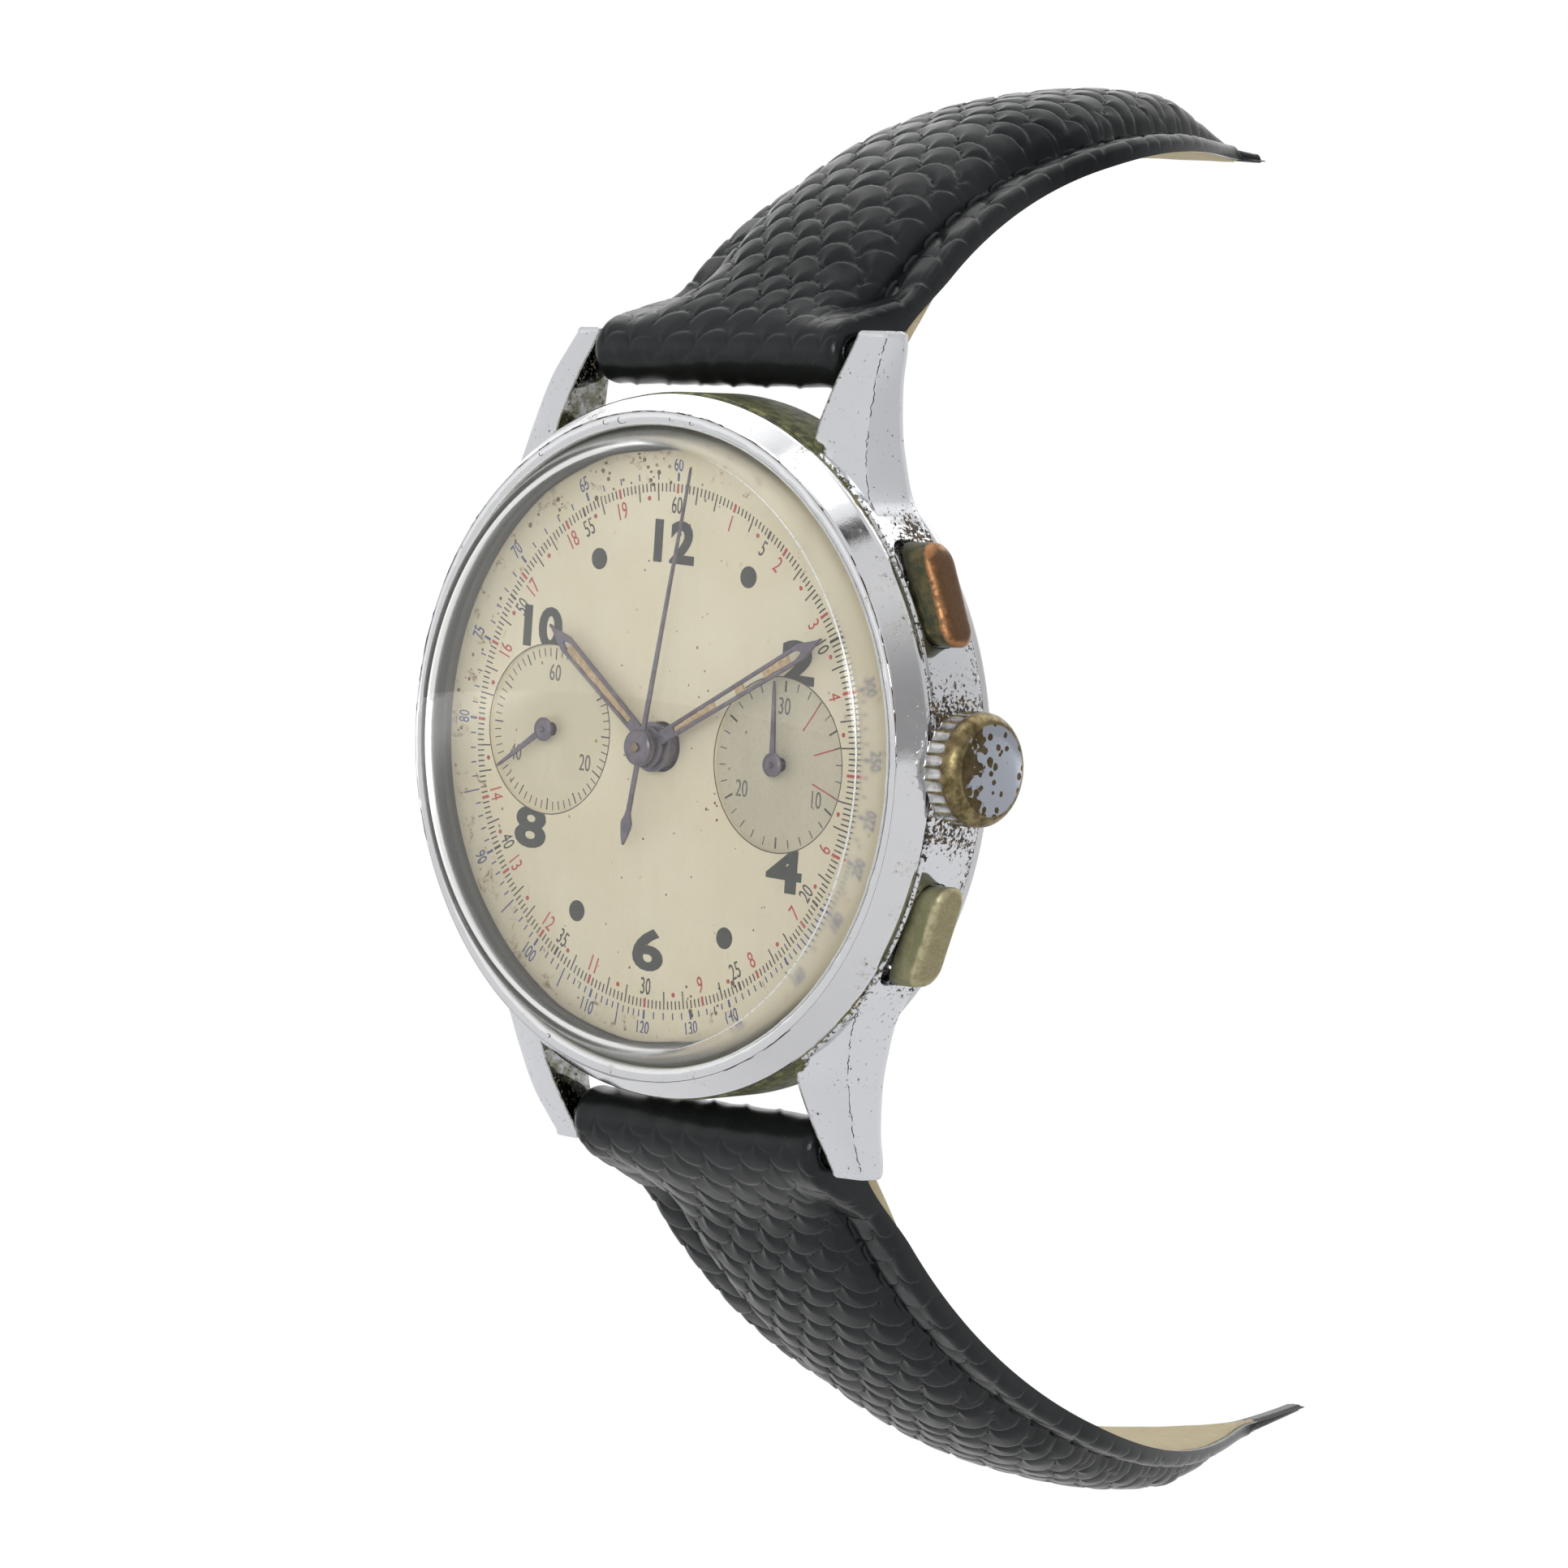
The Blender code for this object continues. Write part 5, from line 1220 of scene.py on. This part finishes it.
    sewn = []
    for side in (-1, 1):
        s = 2.4
        while float(strap_width(s + 1.4, length)) > 3.0:
            loops = []
            for q, r in ((0, 0.05), (0.06, 0.13), (0.25, 0.17), (0.75, 0.17), (0.94, 0.13), (1.0, 0.05)):
                here = s + 1.35 * q
                w = float(strap_width(here, length))
                t = here / length
                thin = 1 - 0.4 * max(0.0, (t - 0.5) / 0.5) ** 2
                hh = max((BORDER_H - 0.25 * t - 0.42) * thin, 0.98) + 0.14 * sin(pi * q)
                ang = np.arange(8) * pi / 4
                yy, zz = at(np.full(8, here), hh + r * np.sin(ang))
                loops.append(np.stack([side * (w - SEAM_IN * min(1.0, w / 7.5)) + r * np.cos(ang), sy * zz, 7.6 - yy], 1))
            sewn.append(rings_loft(loops))
            s += 1.95
    v, f = join(sewn)
    make(f"{name}_stitching", v, f, THREAD_MAT, body, angle=60)


strap_meshes("upper", UPPER_LINE, 1, 11, "upper_band")
strap_meshes("lower", LOWER_LINE, -1, 23, "lower_band")

# ---------------------------------------------------------------- finish of the CAD pieces that stay
finishes = {"nickel": NICKEL, "gilt": GILT, "steel": STEEL, "blued_steel": BLUED, "gasket": THREAD_MAT}
for sub in frame["record"]["subparts"]:
    obj = frame["nodes"][sub["node"]]
    if not obj.hide_render:
        obj.data.materials.clear()
        obj.data.materials.append(BLUED if sub["node"] in ("hour_wheel", "cannon_pinion", "minute_counter_wheel", "fourth_wheel") else finishes.get(sub["material_slot"], STEEL))

# ---------------------------------------------------------------- camera, floor and light
right = Vector((0.7308, 0.6820, 0.0291)).normalized()
ahead = Vector((-0.6796, 0.7309, -0.0634)).normalized()
up = right.cross(ahead).normalized()
right = ahead.cross(up).normalized()
camera = bpy.data.cameras.new("camera")
camera.lens, camera.sensor_width, camera.clip_start, camera.clip_end = 130.0, 36.0, 0.01, 50
eye = bpy.data.objects.new("camera", camera)
eye.matrix_world = Matrix(((right.x, up.x, -ahead.x, 0.20107), (right.y, up.y, -ahead.y, -0.21478), (right.z, up.z, -ahead.z, 0.0166), (0, 0, 0, 1)))
bpy.context.scene.collection.objects.link(eye)
bpy.context.scene.camera = eye

floor_mat = Mat("pale_floor", rough=0.9)
x, y, z = floor_mat.xyz()
far = floor_mat.step(floor_mat.math("SUBTRACT", floor_mat.math("MULTIPLY", y, 0.73), floor_mat.math("MULTIPLY", x, 0.68)), 180, 520)
floor_mat.to("Base Color", floor_mat.mix(far, floor_mat.mix(floor_mat.noise(0.01, 3), (0.6, 0.6, 0.605), (0.64, 0.64, 0.645)), (0.9, 0.9, 0.9)))
floor_mat.bsdf.inputs["Emission Color"].default_value = (1, 1, 1, 1)
floor_mat.to("Emission Strength", floor_mat.lerp(far, 0.1, 0.7))
white = floor_mat.new("ShaderNodeEmission")
white.inputs["Strength"].default_value = 1.0
seen = floor_mat.new("ShaderNodeMixShader")
floor_mat.link(floor_mat.new("ShaderNodeLightPath").outputs["Is Camera Ray"], seen.inputs["Fac"])
floor_mat.link(floor_mat.bsdf.outputs["BSDF"], seen.inputs[1])
floor_mat.link(white.outputs["Emission"], seen.inputs[2])
floor_mat.link(seen.outputs["Shader"], floor_mat.tree.nodes["Material Output"].inputs["Surface"])
mesh = bpy.data.meshes.new("floor")
mesh.from_pydata([(-4, -4, -0.075), (4, -4, -0.075), (4, 4, -0.075), (-4, 4, -0.075)], [], [(0, 1, 2, 3)])
mesh.materials.append(floor_mat.mat)
floor = bpy.data.objects.new("floor", mesh)
bpy.context.scene.collection.objects.link(floor)

# studio: a white sweep behind, soft boxes above and to the right, a dim room in front; the camera sees plain white
world = bpy.data.worlds.new("studio")
world.use_nodes = True
bpy.context.scene.world = world
bpy.context.scene.view_settings.view_transform = "Standard"
sky = world.node_tree
facing = sky.nodes.new("ShaderNodeTexCoord").outputs["Generated"]


def lobe(total, direction, inner, outer, value):
    dot = sky.nodes.new("ShaderNodeVectorMath")
    dot.operation = "DOT_PRODUCT"
    dot.inputs[1].default_value = Vector(direction).normalized()
    sky.links.new(facing, dot.inputs[0])
    fall = sky.nodes.new("ShaderNodeMapRange")
    fall.interpolation_type = "SMOOTHSTEP"
    fall.inputs["From Min"].default_value, fall.inputs["From Max"].default_value = cos(radians(outer)), cos(radians(inner))
    fall.inputs["To Max"].default_value = value
    sky.links.new(dot.outputs["Value"], fall.inputs["Value"])
    add = sky.nodes.new("ShaderNodeMath")
    if hasattr(total, "links"):
        sky.links.new(total, add.inputs[0])
    else:
        add.inputs[0].default_value = total
    sky.links.new(fall.outputs["Result"], add.inputs[1])
    return add.outputs[0]


glow = lobe(0.8, (-0.3, 0.55, 0.78), 24, 44, 0.9)
glow = lobe(glow, (0.05, -0.17, 0.98), 8, 13, 1.0)
glow = lobe(glow, (0.2, -0.21, 0.955), 5, 9, 0.3)
glow = lobe(glow, (0.38, -0.27, 0.885), 2.5, 5, -0.7)
glow = lobe(glow, (0.55, -0.8, 0.24), 8, 14, 9.0)
glow = lobe(glow, (0.93, -0.36, -0.06), 16, 48, -0.44)
glow = lobe(glow, (0.72, 0.69, 0.0), 20, 50, -0.14)
glow = lobe(glow, (-0.68, -0.73, -0.06), 14, 34, 0.3)
glow = lobe(glow, (-0.8, 0.6, 0.0), 15, 35, 0.35)
path = sky.nodes.new("ShaderNodeLightPath").outputs["Is Camera Ray"]
shown = sky.nodes.new("ShaderNodeMix")
shown.data_type = "FLOAT"
sky.links.new(path, shown.inputs["Factor"])
sky.links.new(glow, shown.inputs[2])
shown.inputs[3].default_value = 1.0
sky.links.new(shown.outputs[0], sky.nodes["Background"].inputs["Strength"])
sky.nodes["Background"].inputs["Color"].default_value = (1, 1, 1, 1)
